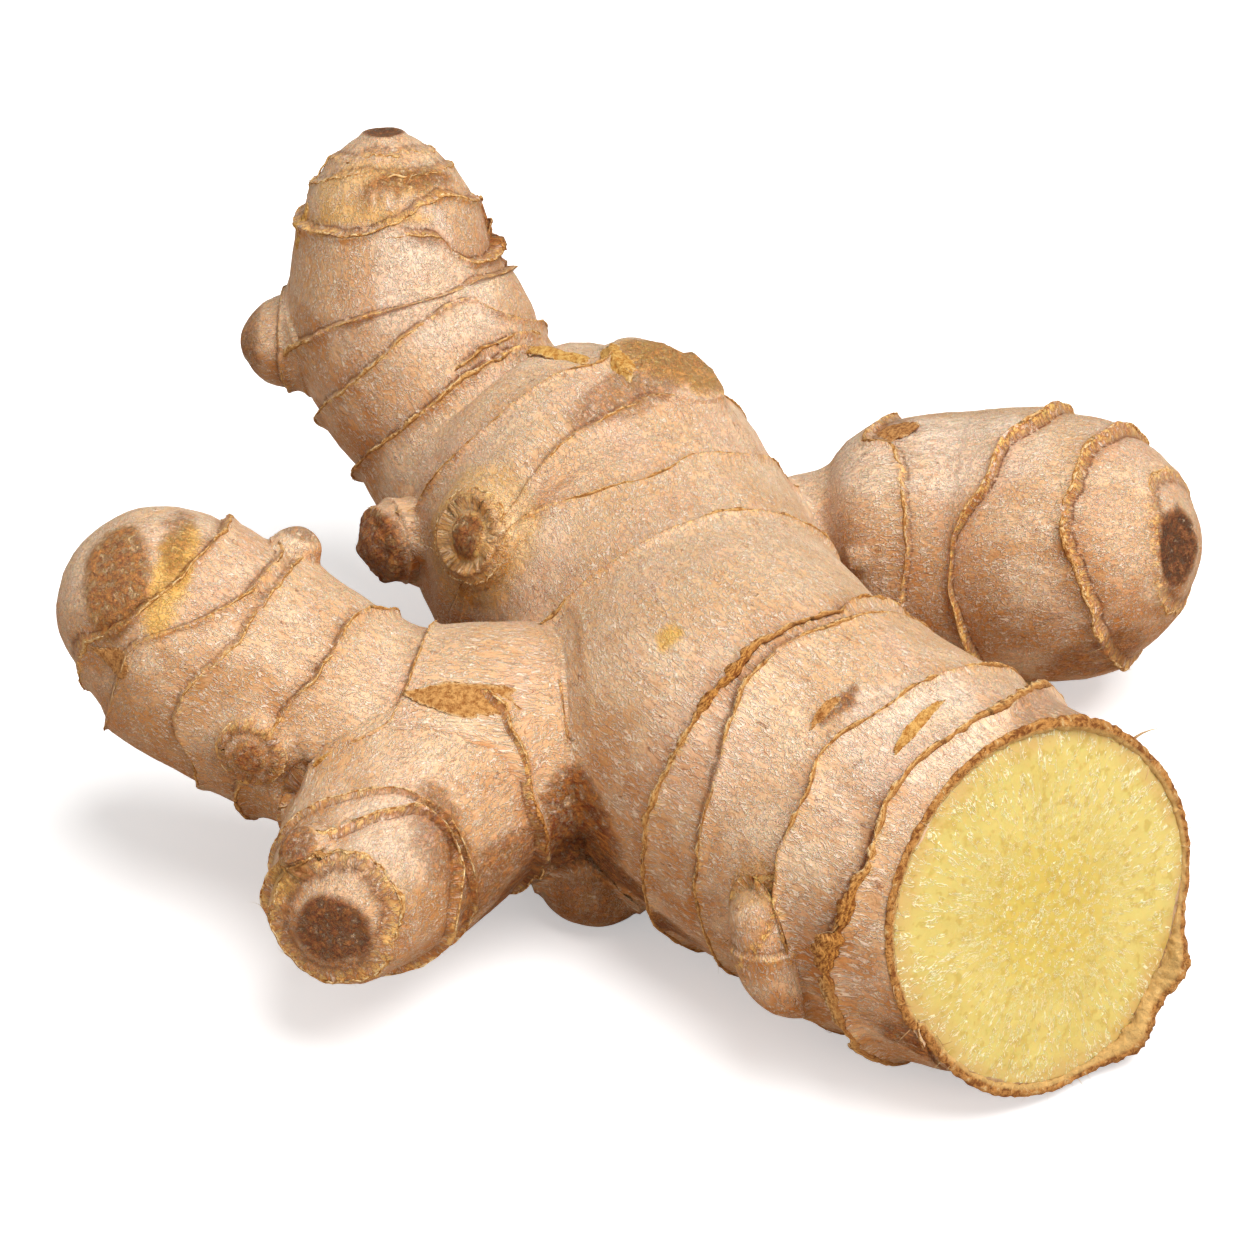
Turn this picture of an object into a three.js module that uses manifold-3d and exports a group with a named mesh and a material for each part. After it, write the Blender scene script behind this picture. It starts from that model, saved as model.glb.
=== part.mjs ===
import * as THREE from "three";
import { mergeVertices } from "three/addons/utils/BufferGeometryUtils.js";
import Module from "manifold-3d";

// A hand of fresh ginger: a thick stem, cut across at one end and rising to a growing tip
// at the other, with side fingers, small buds, and the rings that old leaf scales leave
// round each finger. It grew as one piece, so it is one closed solid.
// Millimetres, +Z up. It lies on z = 0, with +X to the right and +Y away from the viewer.

// Driving dimensions
const LONGEST_STEP = 5.5; // spacing of the section lines between two rings, mm
const LEAST_STEP = 0.12; // how close two section lines may come where rings meet, mm
const RIDGE_WIDTH = 0.9; // half width of a ring's ridge, mm
const RING_DROP = 0.8; // how far the skin steps down past a ring, mm
const RING_FADE = 6; // how far past a ring the skin has risen again, mm
const LOW_RING = 0.55; // a ring under this height has no section line before its ridge, mm
const LUMP = 0.02; // how far the skin swells and sinks between rings, as a share of radius
const MIDDLE = [3.11, -0.36]; // middle of the hand seen from above, which becomes the origin
const CUT = { centre: [44.5, -50, 22], facing: [0.57, -0.78, 0.25] };

// Each finger is a curve through rows of [x, y, z, radius], from its foot to its tip.
// up is the side of it that angles are counted from, in degrees, cap the length of its
// rounded end, dimple the depth of the scar in its tip, sides the number of sides of a
// section, and fillet how widely its foot flows into what it grew from.
// A ring goes round the finger through places of [degrees, distance from the foot], and
// has a height. Past a ring with a step, the finger stays that much thinner. A ring with a
// span stands only between those degrees.
const FINGERS = {
  stem: {
    rows: [
      [50.5, -56, 20.5, 18.5],
      [44, -48.5, 21.2, 19.8],
      [39, -45, 21.4, 20.6],
      [33, -41, 21.4, 21.6],
      [26.5, -34.5, 21.9, 22],
      [19, -27, 22.7, 22],
      [13.5, -18.5, 22.4, 21.5],
      [8.5, -4.5, 21.6, 20.7],
      [2.2, 12.4, 21.8, 22.2],
      [-4.5, 22.5, 24.7, 23.2],
      [-12, 29.8, 26.8, 20],
      [-17.6, 34.7, 28.8, 16.2],
      [-21, 38.3, 32.4, 15.3],
      [-25, 42.5, 37.2, 15.5],
      [-28.5, 46.8, 43.8, 14.5],
      [-29.7, 49.4, 53.4, 12],
      [-30.3, 51.9, 64.5, 10.5],
    ],
    up: [0, 0, 1],
    cap: 12,
    dimple: 0.6,
    sides: 30,
    fillet: 6,
    rings: [
      {
        places: [
          [4, 17], [60, 17.5], [120, 19], [180, 19.4], [222, 20.5], [249, 21.5], [276, 22],
          [300, 21.2], [332, 20.8],
        ],
        height: 1.4,
      },
      {
        places: [
          [18, 26.8], [80, 25.6], [140, 24.8], [200, 24.4], [243, 25], [273, 25.8], [291, 27.6],
          [314, 28.3], [326, 29.5], [345, 27.4],
        ],
        height: 0.8,
      },
      {
        places: [
          [0, 40.8], [60, 40], [120, 38.5], [180, 37.2], [240, 36.8], [268, 38], [300, 39.2],
          [326, 41], [340, 41.5],
        ],
        height: 0.5,
      },
      {
        places: [
          [9, 42.2], [24, 43.8], [36, 44.5], [80, 45], [130, 45.5], [200, 45], [267, 43.5],
          [291, 43], [320, 42.8], [348, 42.8],
        ],
        height: 1,
      },
      {
        places: [
          [9, 68.8], [36, 70.5], [80, 73], [150, 72], [220, 71], [270, 70.3], [292, 68.8],
          [312, 68.6], [332, 66.8], [354, 67.2],
        ],
        height: 0.7,
      },
      {
        places: [
          [0, 79.6], [12, 82.6], [29, 83.8], [58, 89], [81, 90.5], [130, 91], [200, 90.5],
          [260, 91.3], [306, 90.5], [322, 84.5], [340, 80.5],
        ],
        height: 0.5,
      },
      {
        places: [
          [10, 96], [60, 97], [120, 97.5], [180, 97], [250, 95.5], [310, 93.8], [336, 95.8],
        ],
        height: 0.3,
      },
      {
        places: [
          [9, 101.8], [60, 102.5], [120, 105], [180, 110], [230, 114], [262, 114.8], [290, 112],
          [306, 110.3], [324, 107.8], [339, 106], [354, 104.6],
        ],
        height: 0.8,
      },
      {
        places: [
          [10, 123.4], [30, 122.2], [80, 122], [130, 122.4], [190, 123.6], [250, 123.8],
          [284, 122.8], [318, 122.5], [342, 123.3],
        ],
        height: 1,
      },
      {
        places: [
          [0, 125.2], [90, 124], [180, 125], [320, 124.6],
        ],
        height: 0.9,
        span: [332, 48],
      },
      {
        places: [
          [9, 131.4], [24, 128], [57, 126.4], [100, 126.8], [160, 129], [242, 131],
          [302, 131.2], [334, 132.8], [357, 134],
        ],
        height: 0.7,
      },
      {
        places: [
          [0, 141], [12, 142.4], [40, 141], [90, 139], [150, 138], [210, 138], [262, 138.1],
          [303, 139.3], [340, 139.8],
        ],
        height: 0.8,
      },
      {
        places: [
          [6, 147.2], [22, 145.2], [46, 144.8], [90, 146], [150, 147.5], [220, 148.5],
          [300, 149.4], [336, 150.4], [357, 149.4],
        ],
        height: 1,
        span: [326, 110],
      },
      {
        places: [
          [15, 154.3], [36, 152.4], [90, 151], [150, 151], [220, 151.4], [267, 151],
          [306, 150.8], [339, 152.4], [357, 153.7],
        ],
        height: 0.7,
      },
      {
        places: [
          [20, 156.8], [90, 156], [180, 155.2], [232, 155], [268, 156.3], [308, 157.4],
          [346, 156.9],
        ],
        height: 0.4,
      },
      {
        places: [
          [10, 159], [90, 158.2], [180, 157.8], [280, 158.6], [314, 159.2],
        ],
        height: 0.3,
      },
    ],
  },
  left: {
    rows: [
      [2.7, -8.2, 16, 12.3],
      [-7.7, -14.4, 17.5, 13.6],
      [-16.8, -18.4, 20.5, 13.9],
      [-27.2, -17.6, 21.8, 13.4],
      [-36.8, -15.4, 25.1, 14.2],
      [-44.1, -13.2, 28.5, 14.1],
      [-50.9, -11.2, 31.6, 14.1],
      [-57.1, -10.8, 34.1, 13.2],
      [-64.5, -12.1, 35.8, 11.3],
    ],
    up: [0, 0, 1],
    cap: 12,
    sides: 26,
    fillet: 6,
    rings: [
      {
        places: [
          [0, 30], [60, 31], [120, 33], [180, 35.5], [230, 37.5], [270, 36.5], [287, 34],
          [303, 31], [320, 30.5],
        ],
        height: 0.5,
      },
      {
        places: [
          [15, 38.4], [60, 38], [120, 39.5], [180, 42], [212, 43.4], [242, 45], [285, 44],
          [314, 42.2], [350, 41.6],
        ],
        height: 0.8,
      },
      {
        places: [
          [32, 52], [90, 51.5], [150, 50], [200, 48.6], [237, 49.8], [252, 53], [279, 54],
          [300, 52.4], [327, 51.8], [350, 51.5],
        ],
        height: 0.4,
      },
      {
        places: [
          [9, 53.6], [27, 55], [70, 57], [120, 60], [170, 63], [220, 65.2], [260, 66.5],
          [285, 65], [296, 60.8], [306, 57], [324, 54.4], [342, 53.4],
        ],
        height: 0.6,
      },
      {
        places: [
          [10, 59.8], [60, 61], [120, 65], [180, 69], [230, 71.6], [266, 71.4], [280, 70],
          [302, 65.6], [321, 62.3], [346, 60.3],
        ],
        height: 0.8,
      },
    ],
  },
  front: {
    rows: [
      [-12.3, -14.9, 18.5, 11.5],
      [-17.8, -21.9, 18.8, 12.7],
      [-23.1, -29.7, 17.9, 12.5],
      [-27.2, -36.5, 17.9, 11.7],
      [-28.6, -41, 18.3, 10.9],
      [-30, -46, 19.2, 9.2],
      [-31.4, -51.8, 20.4, 7.6],
    ],
    up: [0, 0, 1],
    cap: 3.6,
    dimple: 0.9,
    sides: 24,
    fillet: 6,
    rings: [
      {
        places: [
          [0, 1.4], [90, 2], [180, 3], [240, 3], [272, 2.2], [296, 2.8], [310, 3.5], [327, 2.4],
          [342, 1.6],
        ],
        height: 0.5,
      },
      {
        places: [
          [30, 9], [90, 9.5], [180, 12], [250, 13.5], [292, 13.4], [309, 11.9], [321, 11],
          [336, 9.8],
        ],
        height: 0.8,
      },
      {
        places: [
          [16, 31.2], [38, 32], [60, 32.2], [100, 30.5], [180, 27], [260, 26], [290, 25.8],
          [312, 25.2], [330, 26.4], [345, 27.8], [358, 29.5],
        ],
        height: 0.4,
      },
      {
        places: [
          [16, 38], [50, 38.2], [100, 37], [180, 33.5], [226, 30.5], [258, 31.5], [278, 30.8],
          [294, 29], [312, 27.3], [328, 29], [342, 32], [357, 35],
        ],
        height: 0.7,
      },
      {
        places: [
          [0, 39.9], [30, 40.2], [90, 40.5], [150, 40.5], [248, 40.9], [279, 40.7], [296, 40.2],
          [339, 39.8],
        ],
        height: 0.6,
        step: 0.5,
      },
    ],
  },
  right: {
    rows: [
      [8, 27, 14, 9.5],
      [15, 32, 13.5, 9.6],
      [21, 34.2, 14, 9.5],
      [27.5, 33.5, 15.4, 11],
      [34, 32.4, 16.9, 16.2],
      [44.5, 30.1, 17.3, 17.6],
      [54.1, 26.5, 19.8, 17.1],
      [61.6, 23.1, 22.1, 15],
      [70, 19.7, 24.2, 12.7],
    ],
    up: [0, 0, 1],
    cap: 12,
    dimple: 1,
    sides: 26,
    fillet: 6,
    rings: [
      {
        places: [
          [0, 26.8], [7, 29], [18, 30], [29, 30.4], [60, 31.5], [110, 31], [180, 29.5],
          [250, 28.5], [320, 28.5], [345, 27.4],
        ],
        height: 0.6,
      },
      {
        places: [
          [6, 47.6], [27, 46.3], [39, 43.5], [50, 40.6], [69, 39.4], [80, 40.4], [104, 41.5],
          [150, 43.5], [210, 46], [270, 48.5], [320, 50.3], [350, 50.3],
        ],
        height: 1.1,
      },
      {
        places: [
          [0, 57.6], [24, 57], [46, 56.6], [70, 58], [111, 58.8], [160, 58], [230, 57.5],
          [300, 58.8], [346, 58.6],
        ],
        height: 0.9,
      },
      {
        places: [
          [9, 63.8], [38, 64.6], [62, 64.9], [87, 64.8], [128, 65.1], [200, 65], [270, 65],
          [334, 64.4],
        ],
        height: 0.5,
      },
    ],
  },
  underBud: {
    rows: [
      [-1, -9, 9, 8],
      [-3, -19, 7.5, 7.5],
      [-4.8, -29.5, 6.7, 6.8],
    ],
    up: [0, 0, 1],
    cap: 6,
    sides: 18,
    fillet: 3,
    rings: [
      { places: [[0, 13], [180, 13.5]], height: 0.4 },
    ],
  },
  backBud: {
    rows: [
      [-33, 44, 40, 6.6],
      [-41.5, 46.6, 38, 6.1],
      [-48.9, 47.6, 37.5, 5.7],
    ],
    up: [0, 0, 1],
    cap: 5.5,
    sides: 16,
    fillet: 2,
    rings: [
      { places: [[0, 9.5], [180, 10.5]], height: 0.4 },
    ],
  },
  sideBud: {
    rows: [
      [-23.5, 19.8, 26, 5.2],
      [-28.6, 17.6, 25.9, 4.6],
      [-32.2, 15.6, 25.9, 3.6],
    ],
    up: [0, 0, 1],
    cap: 3.4,
    sides: 14,
    fillet: 1.5,
    rings: [
      { places: [[0, 7], [180, 7.6]], height: 0.5 },
    ],
  },
  stemEye: {
    rows: [
      [-13.8, 10, 31.4, 7],
      [-17.1, 6.6, 33.5, 5.4],
      [-19.2, 4.4, 34.9, 4],
    ],
    up: [0, 0, 1],
    cap: 3,
    dimple: 1,
    sides: 18,
    fillet: 2.5,
    rings: [
      { places: [[0, 6.6], [180, 6.6]], height: 0.4 },
    ],
  },
  stemBud: {
    rows: [
      [18, -50.5, 10.5, 2.6],
      [15.8, -53.2, 15, 3.4],
      [14.6, -52.9, 20, 3.8],
      [13.4, -51.3, 25.6, 3],
    ],
    up: [-1, 0, 0],
    cap: 3,
    sides: 14,
    fillet: 1,
    rings: [
      { places: [[0, 11], [180, 10]], height: 0.3 },
    ],
  },
  leftEye: {
    rows: [
      [-40.1, -23, 26.8, 4.8],
      [-41.2, -27.9, 27.3, 3.8],
      [-41.8, -30.9, 27.6, 2.8],
    ],
    up: [0, 0, 1],
    cap: 2.2,
    dimple: 0.8,
    sides: 14,
    fillet: 1.5,
    rings: [
      { places: [[0, 6.2], [180, 6.2]], height: 0.3 },
    ],
  },
  leftPip: {
    rows: [
      [-38.5, -7.5, 38.4, 3.2],
      [-37.3, -6.6, 40.6, 2.8],
      [-36.6, -6, 42.4, 2.1],
    ],
    up: [1, 0, 0],
    cap: 2,
    sides: 10,
    fillet: 1,
    rings: [],
  },
  frontBud: {
    rows: [
      [-32.6, -44.6, 24.5, 3],
      [-34.6, -46.2, 26.9, 2.4],
      [-35.5, -46.9, 28.2, 1.8],
    ],
    up: [1, 0, 0],
    cap: 1.6,
    sides: 10,
    fillet: 1,
    rings: [],
  },
  topScar: {
    rows: [
      [2.4, 23.8, 40.3, 8.2],
      [4.6, 24.3, 45.3, 7.2],
      [5.4, 24.5, 47.2, 6.2],
    ],
    up: [1, 0, 0],
    cap: 1.2,
    sides: 16,
    fillet: 1.5,
    rings: [],
  },
  rearBud: {
    rows: [
      [24, -6.3, 17, 6],
      [29.4, -4.6, 15.3, 4.8],
      [32.8, -3.6, 14.3, 3.8],
    ],
    up: [0, 0, 1],
    cap: 3,
    sides: 14,
    fillet: 2,
    rings: [
      { places: [[0, 6.6], [180, 6.2]], height: 0.4 },
    ],
  },
};

const TAU = 2 * Math.PI;
const radians = (degrees) => (degrees * Math.PI) / 180;
const clamp = (x, low, high) => Math.min(Math.max(x, low), high);
const mix = (a, b, f) => a + (b - a) * f;
const smooth = (x) => {
  const f = clamp(x, 0, 1);
  return f * f * (3 - 2 * f);
};
const vector = (row) => new THREE.Vector3(row[0], row[1], row[2]);

// A wavy number about 0, from -1 to 1, that comes back to itself once round the finger.
function wave(angle, seed) {
  let sum = 0;
  for (let k = 1; k <= 5; k++) {
    const phase = TAU * Math.abs(Math.sin(seed * 12.9898 + k * 78.233) * 43758.5453);
    sum += Math.sin(k * angle + phase) / Math.sqrt(k);
  }
  return sum / 2.4;
}

// One smooth curve through rows of numbers: t counts rows, so 1.5 is midway from row 1 to 2.
function through(rows, t) {
  const i = clamp(Math.floor(t), 0, rows.length - 2);
  const f = t - i;
  const before = rows[Math.max(i - 1, 0)];
  const after = rows[Math.min(i + 2, rows.length - 1)];
  const next = rows[i + 1];
  return rows[i].map((here, k) => {
    const slope = next[k] - before[k];
    const bend = 2 * before[k] - 5 * here + 4 * next[k] - after[k];
    const turn = 3 * (here - next[k]) + after[k] - before[k];
    return here + 0.5 * f * (slope + f * (bend + f * turn));
  });
}

// The middle line of a finger, sampled closely, with a frame that doesn't twist.
const SAMPLES_A_ROW = 12;
function grow(name, plan) {
  const last = plan.rows.length - 1;
  const samples = [];
  for (let i = 0; i <= last * SAMPLES_A_ROW; i++) {
    const row = through(plan.rows, i / SAMPLES_A_ROW);
    samples.push({ middle: vector(row), radius: row[3] });
  }
  let travelled = 0;
  samples.forEach((sample, i) => {
    const ahead = samples[Math.min(i + 1, samples.length - 1)].middle;
    const behind = samples[Math.max(i - 1, 0)].middle;
    const along = ahead.clone().sub(behind).normalize();
    const reference = i ? samples[i - 1].up : vector(plan.up);
    sample.up = reference.clone().addScaledVector(along, -reference.dot(along)).normalize();
    sample.side = along.clone().cross(sample.up);
    if (i) travelled += sample.middle.distanceTo(samples[i - 1].middle);
    sample.distance = travelled;
  });
  const finger = { name, plan, samples, length: travelled };
  for (const sample of samples) sample.girth = sample.radius * capShare(finger, sample.distance);
  return finger;
}

// A finger's end is rounded off over the length of its cap, as a half ellipse.
function capShare(finger, distance) {
  const left = (finger.length - distance) / finger.plan.cap;
  return left >= 1 ? 1 : Math.sqrt(Math.max(0, left * (2 - left)));
}

function sampleAt(finger, distance) {
  const { samples } = finger;
  let low = 0;
  let high = samples.length - 1;
  while (high - low > 1) {
    const half = (low + high) >> 1;
    if (samples[half].distance <= distance) low = half;
    else high = half;
  }
  const [a, b] = [samples[low], samples[high]];
  const f = clamp((distance - a.distance) / (b.distance - a.distance), 0, 1);
  return {
    middle: a.middle.clone().lerp(b.middle, f),
    up: a.up.clone().lerp(b.up, f).normalize(),
    side: a.side.clone().lerp(b.side, f).normalize(),
    radius: mix(a.radius, b.radius, f) * capShare(finger, distance),
  };
}

// How far a point is outside a finger, and the way straight out of it.
function gapTo(finger, point) {
  let best = { gap: Infinity };
  for (const sample of finger.samples) {
    const gap = point.distanceTo(sample.middle) - sample.girth;
    if (gap < best.gap) best = { gap, sample };
  }
  return { gap: best.gap, out: point.clone().sub(best.sample.middle).normalize() };
}

// Pushes a point of one finger out to the surface that flows smoothly into its neighbours.
function weld(finger, others, start) {
  const point = start.clone();
  for (const other of others) {
    const reach = Math.min(finger.plan.fillet, other.plan.fillet);
    for (let turn = 0; turn < 3; turn++) {
      const own = gapTo(finger, point);
      const theirs = gapTo(other, point);
      const nearness = Math.max(reach - Math.abs(own.gap - theirs.gap), 0) / reach;
      if (!nearness || theirs.gap < -2) break;
      const share = clamp(0.5 + (theirs.gap - own.gap) / (2 * reach), 0, 1);
      const field = Math.min(own.gap, theirs.gap) - (nearness * nearness * reach) / 4;
      const out = own.out.multiplyScalar(share).addScaledVector(theirs.out, 1 - share);
      const fade = smooth((theirs.gap + 2) / 2);
      point.addScaledVector(out, (-field * fade) / Math.max(out.lengthSq(), 0.3));
    }
  }
  return point;
}

// Where a ring stands at an angle: a closed smooth curve through its places.
function ringPlace(ring, angle) {
  const { places } = ring;
  const count = places.length;
  const degrees = (((angle * 180) / Math.PI) % 360 + 360) % 360;
  const nth = (i) => {
    const turns = Math.floor(i / count);
    const [a, distance] = places[i - turns * count];
    return [a + 360 * turns, distance];
  };
  let i = places.findLastIndex(([a]) => a <= degrees);
  const [before, here, next, after] = [nth(i - 1), nth(i), nth(i + 1), nth(i + 2)];
  const span = next[0] - here[0];
  const f = (degrees - here[0]) / span;
  const leave = (span * (next[1] - before[1])) / (next[0] - before[0]);
  const arrive = (span * (after[1] - here[1])) / (after[0] - here[0]);
  const rise = f * f * (3 - 2 * f);
  return mix(here[1], next[1], rise) + f * (1 - f) * ((1 - f) * leave - f * arrive);
}

// How much of its height a ring has at an angle, for one that goes only partly round.
function ringShare(ring, angle) {
  if (!ring.span) return 1;
  const [from, to] = ring.span;
  const width = (to - from + 360) % 360;
  const into = ((angle * 180) / Math.PI - from + 720) % 360;
  return smooth(into / 20) * smooth((width - into) / 20);
}

// The height of the skin over the smooth finger: ragged ridges, and a step down past each.
function relief(finger, distance, angle, radius) {
  let height = LUMP * radius * Math.sin(distance / 7 + 2 * wave(angle, finger.plan.cap));
  finger.plan.rings.forEach((ring, i) => {
    const past = distance - ringPlace(ring, angle);
    const share = ringShare(ring, angle) * ring.height;
    const ragged = 0.75 + 0.35 * wave(angle * 3, i + 5);
    height += share * ragged * Math.exp(-((past / RIDGE_WIDTH) ** 2));
    if (past <= 0) return;
    height -= Math.min(share, 1) * RING_DROP * smooth(past / 0.8) * Math.exp(-past / RING_FADE);
    height -= (ring.step ?? 0) * smooth(past / 1.5);
  });
  return height;
}

// How many section lines lie between each ring and the one before it.
function fillCounts(finger) {
  let from = 0;
  return finger.plan.rings.map((ring) => {
    const mean = ring.places.reduce((sum, place) => sum + place[1], 0) / ring.places.length;
    const count = Math.max(1, Math.ceil((mean - from - 2) / LONGEST_STEP));
    from = mean;
    return count;
  });
}

// Where the section lines cross an angle: on and beside each ring, and evenly between them.
function sectionLines(finger, counts, angle) {
  const lines = [0];
  const add = (distance) => lines.push(Math.max(distance, lines.at(-1) + LEAST_STEP));
  let from = 0;
  finger.plan.rings.forEach((ring, i) => {
    const place = ringPlace(ring, angle);
    const before = ring.height < LOW_RING ? place : place - 1.1;
    for (let k = 1; k < counts[i]; k++) add(mix(from, before, k / counts[i]));
    from = place + 1;
    if (before < place) add(before);
    add(place);
    add(from);
  });
  const capLines = finger.plan.cap > 3 ? 6 : 4;
  for (let i = 1; i < capLines; i++) {
    add(mix(from, finger.length, Math.sin(((Math.PI / 2) * i) / capLines)));
  }
  return lines;
}

function surfacePoint(finger, others, distance, angle) {
  const { middle, up, side, radius } = sampleAt(finger, distance);
  const out = up.multiplyScalar(Math.cos(angle)).addScaledVector(side, Math.sin(angle));
  const smoothPoint = middle.addScaledVector(out, radius);
  return weld(finger, others, smoothPoint).addScaledVector(out, relief(finger, distance, angle, radius));
}

// A closed skin: section lines joined by quads, with a fan at the foot and one at the tip.
function skin(finger, others) {
  const { sides } = finger.plan;
  const counts = fillCounts(finger);
  const columns = [];
  for (let j = 0; j < sides; j++) {
    const angle = (TAU * j) / sides;
    const lines = sectionLines(finger, counts, angle);
    columns.push(lines.map((distance) => surfacePoint(finger, others, distance, angle)));
  }
  const rows = columns[0].length;
  const corners = columns.flat();
  const foot = corners.push(sampleAt(finger, 0).middle) - 1;
  const end = sampleAt(finger, finger.length);
  const along = end.up.clone().cross(end.side).negate();
  const tip = corners.push(end.middle.addScaledVector(along, -(finger.plan.dimple ?? 0))) - 1;
  const faces = [];
  for (let j = 0; j < sides; j++) {
    const here = j * rows;
    const next = ((j + 1) % sides) * rows;
    for (let i = 0; i < rows - 1; i++) {
      faces.push(here + i, next + i, next + i + 1);
      faces.push(here + i, next + i + 1, here + i + 1);
    }
    faces.push(foot, next, here);
    faces.push(tip, here + rows - 1, next + rows - 1);
  }
  const geometry = new THREE.BufferGeometry().setFromPoints(corners);
  geometry.setIndex(faces);
  return geometry;
}

const wasm = await Module();
wasm.setup();

function solid(geometry) {
  const bare = new THREE.BufferGeometry();
  bare.setAttribute("position", geometry.getAttribute("position"));
  bare.setIndex(geometry.getIndex());
  const merged = mergeVertices(bare, 1e-4);
  const mesh = { numProp: 3, vertProperties: merged.attributes.position.array };
  mesh.triVerts = new Uint32Array(merged.index.array);
  return new wasm.Manifold(new wasm.Mesh(mesh));
}

// A large block whose face lies on a point, on the side that the face looks towards.
function blockBeyond(point, facing) {
  const size = 400;
  const block = new THREE.BoxGeometry(size, size, size);
  block.translate(0, 0, size / 2);
  const turn = new THREE.Quaternion();
  turn.setFromUnitVectors(new THREE.Vector3(0, 0, 1), vector(facing).normalize());
  block.applyQuaternion(turn);
  return solid(block.translate(...point));
}

const fingers = Object.entries(FINGERS).map(([name, plan]) => grow(name, plan));
let body = null;
for (const finger of fingers) {
  const others = fingers.filter((other) => other !== finger);
  const piece = solid(skin(finger, others));
  body = body ? body.add(piece) : piece;
}
body = body.subtract(blockBeyond(CUT.centre, CUT.facing));
body = body.subtract(blockBeyond([0, 0, 0], [0, 0, -1]));

const { vertProperties, triVerts } = body.getMesh();
const geometry = new THREE.BufferGeometry();
geometry.setAttribute("position", new THREE.BufferAttribute(vertProperties, 3));
geometry.setIndex(new THREE.BufferAttribute(triVerts, 1));
geometry.computeVertexNormals();
geometry.translate(-MIDDLE[0], -MIDDLE[1], 0);

const skinLook = new THREE.MeshStandardMaterial({ color: 0xcfa982, roughness: 0.6, metalness: 0 });
const root = new THREE.Mesh(geometry, skinLook);
root.name = "ginger_root";

const part = new THREE.Group();
part.add(root);
export default part;
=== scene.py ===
"""Looks of a hand of fresh ginger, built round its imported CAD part.

The skin repeats the part's own fingers, rings and buds on a much finer grid. Dry scale edges,
loose flakes, crusts and root hairs lie on it, and the cut end has its own flesh and rind.
"""
import math

import bpy
import numpy as np
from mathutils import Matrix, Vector


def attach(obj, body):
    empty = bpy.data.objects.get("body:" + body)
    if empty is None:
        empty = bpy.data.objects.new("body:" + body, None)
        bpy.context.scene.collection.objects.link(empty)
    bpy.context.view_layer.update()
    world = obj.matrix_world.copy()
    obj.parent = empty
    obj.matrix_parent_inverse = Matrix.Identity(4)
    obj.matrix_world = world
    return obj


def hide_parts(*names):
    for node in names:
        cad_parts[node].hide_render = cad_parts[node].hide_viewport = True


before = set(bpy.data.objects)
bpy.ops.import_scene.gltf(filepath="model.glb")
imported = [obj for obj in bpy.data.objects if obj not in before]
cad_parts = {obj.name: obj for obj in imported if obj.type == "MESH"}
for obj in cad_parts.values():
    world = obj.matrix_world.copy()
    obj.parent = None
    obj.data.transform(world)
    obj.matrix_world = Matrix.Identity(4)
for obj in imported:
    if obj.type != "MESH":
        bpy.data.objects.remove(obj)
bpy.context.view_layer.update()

MM = 0.001
TAU = 2 * math.pi

# Driving values of the part, in millimetres
MIDDLE = np.array([3.11, -0.36, 0])  # middle of the hand seen from above, which is the frame's origin
CUT_CENTRE = np.array([44.5, -50, 22])
CUT_FACING = np.array([0.57, -0.78, 0.25])
RING_DROP = 0.8  # how far the skin steps down past a ring
RING_FADE = 6  # how far past a ring the skin has risen again
LUMP = 0.02  # how far the skin swells and sinks between rings, as a share of radius
SAMPLES_A_ROW = 12  # steps of a finger's curve between two of its rows

# How the skin is drawn, finer than the part's, in millimetres
RING_WOBBLE = 0.22  # how far a ring strays from its smooth curve
RIDGE_WIDTH = 0.65  # half width of a ring's ridge, on the side of its foot
LIP_WIDTH = 0.3  # half width of the ridge on the side of the tip, where it breaks off
SIDE_STEP = 0.72  # between two points round a finger
LINE_STEP = 1.15  # between two section lines, at most
RING_LINES = [-1.9, -1.0, -0.45, -0.15, 0, 0.15, 0.4, 0.62, 0.9, 1.7]  # lines beside a ring
LEAST_STEP = 0.03  # how close two section lines may come
TIP_LINES = 24  # section lines from the last ring to the tip
LATTICE = 32  # cells of random heights on a side, after which they repeat

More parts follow.
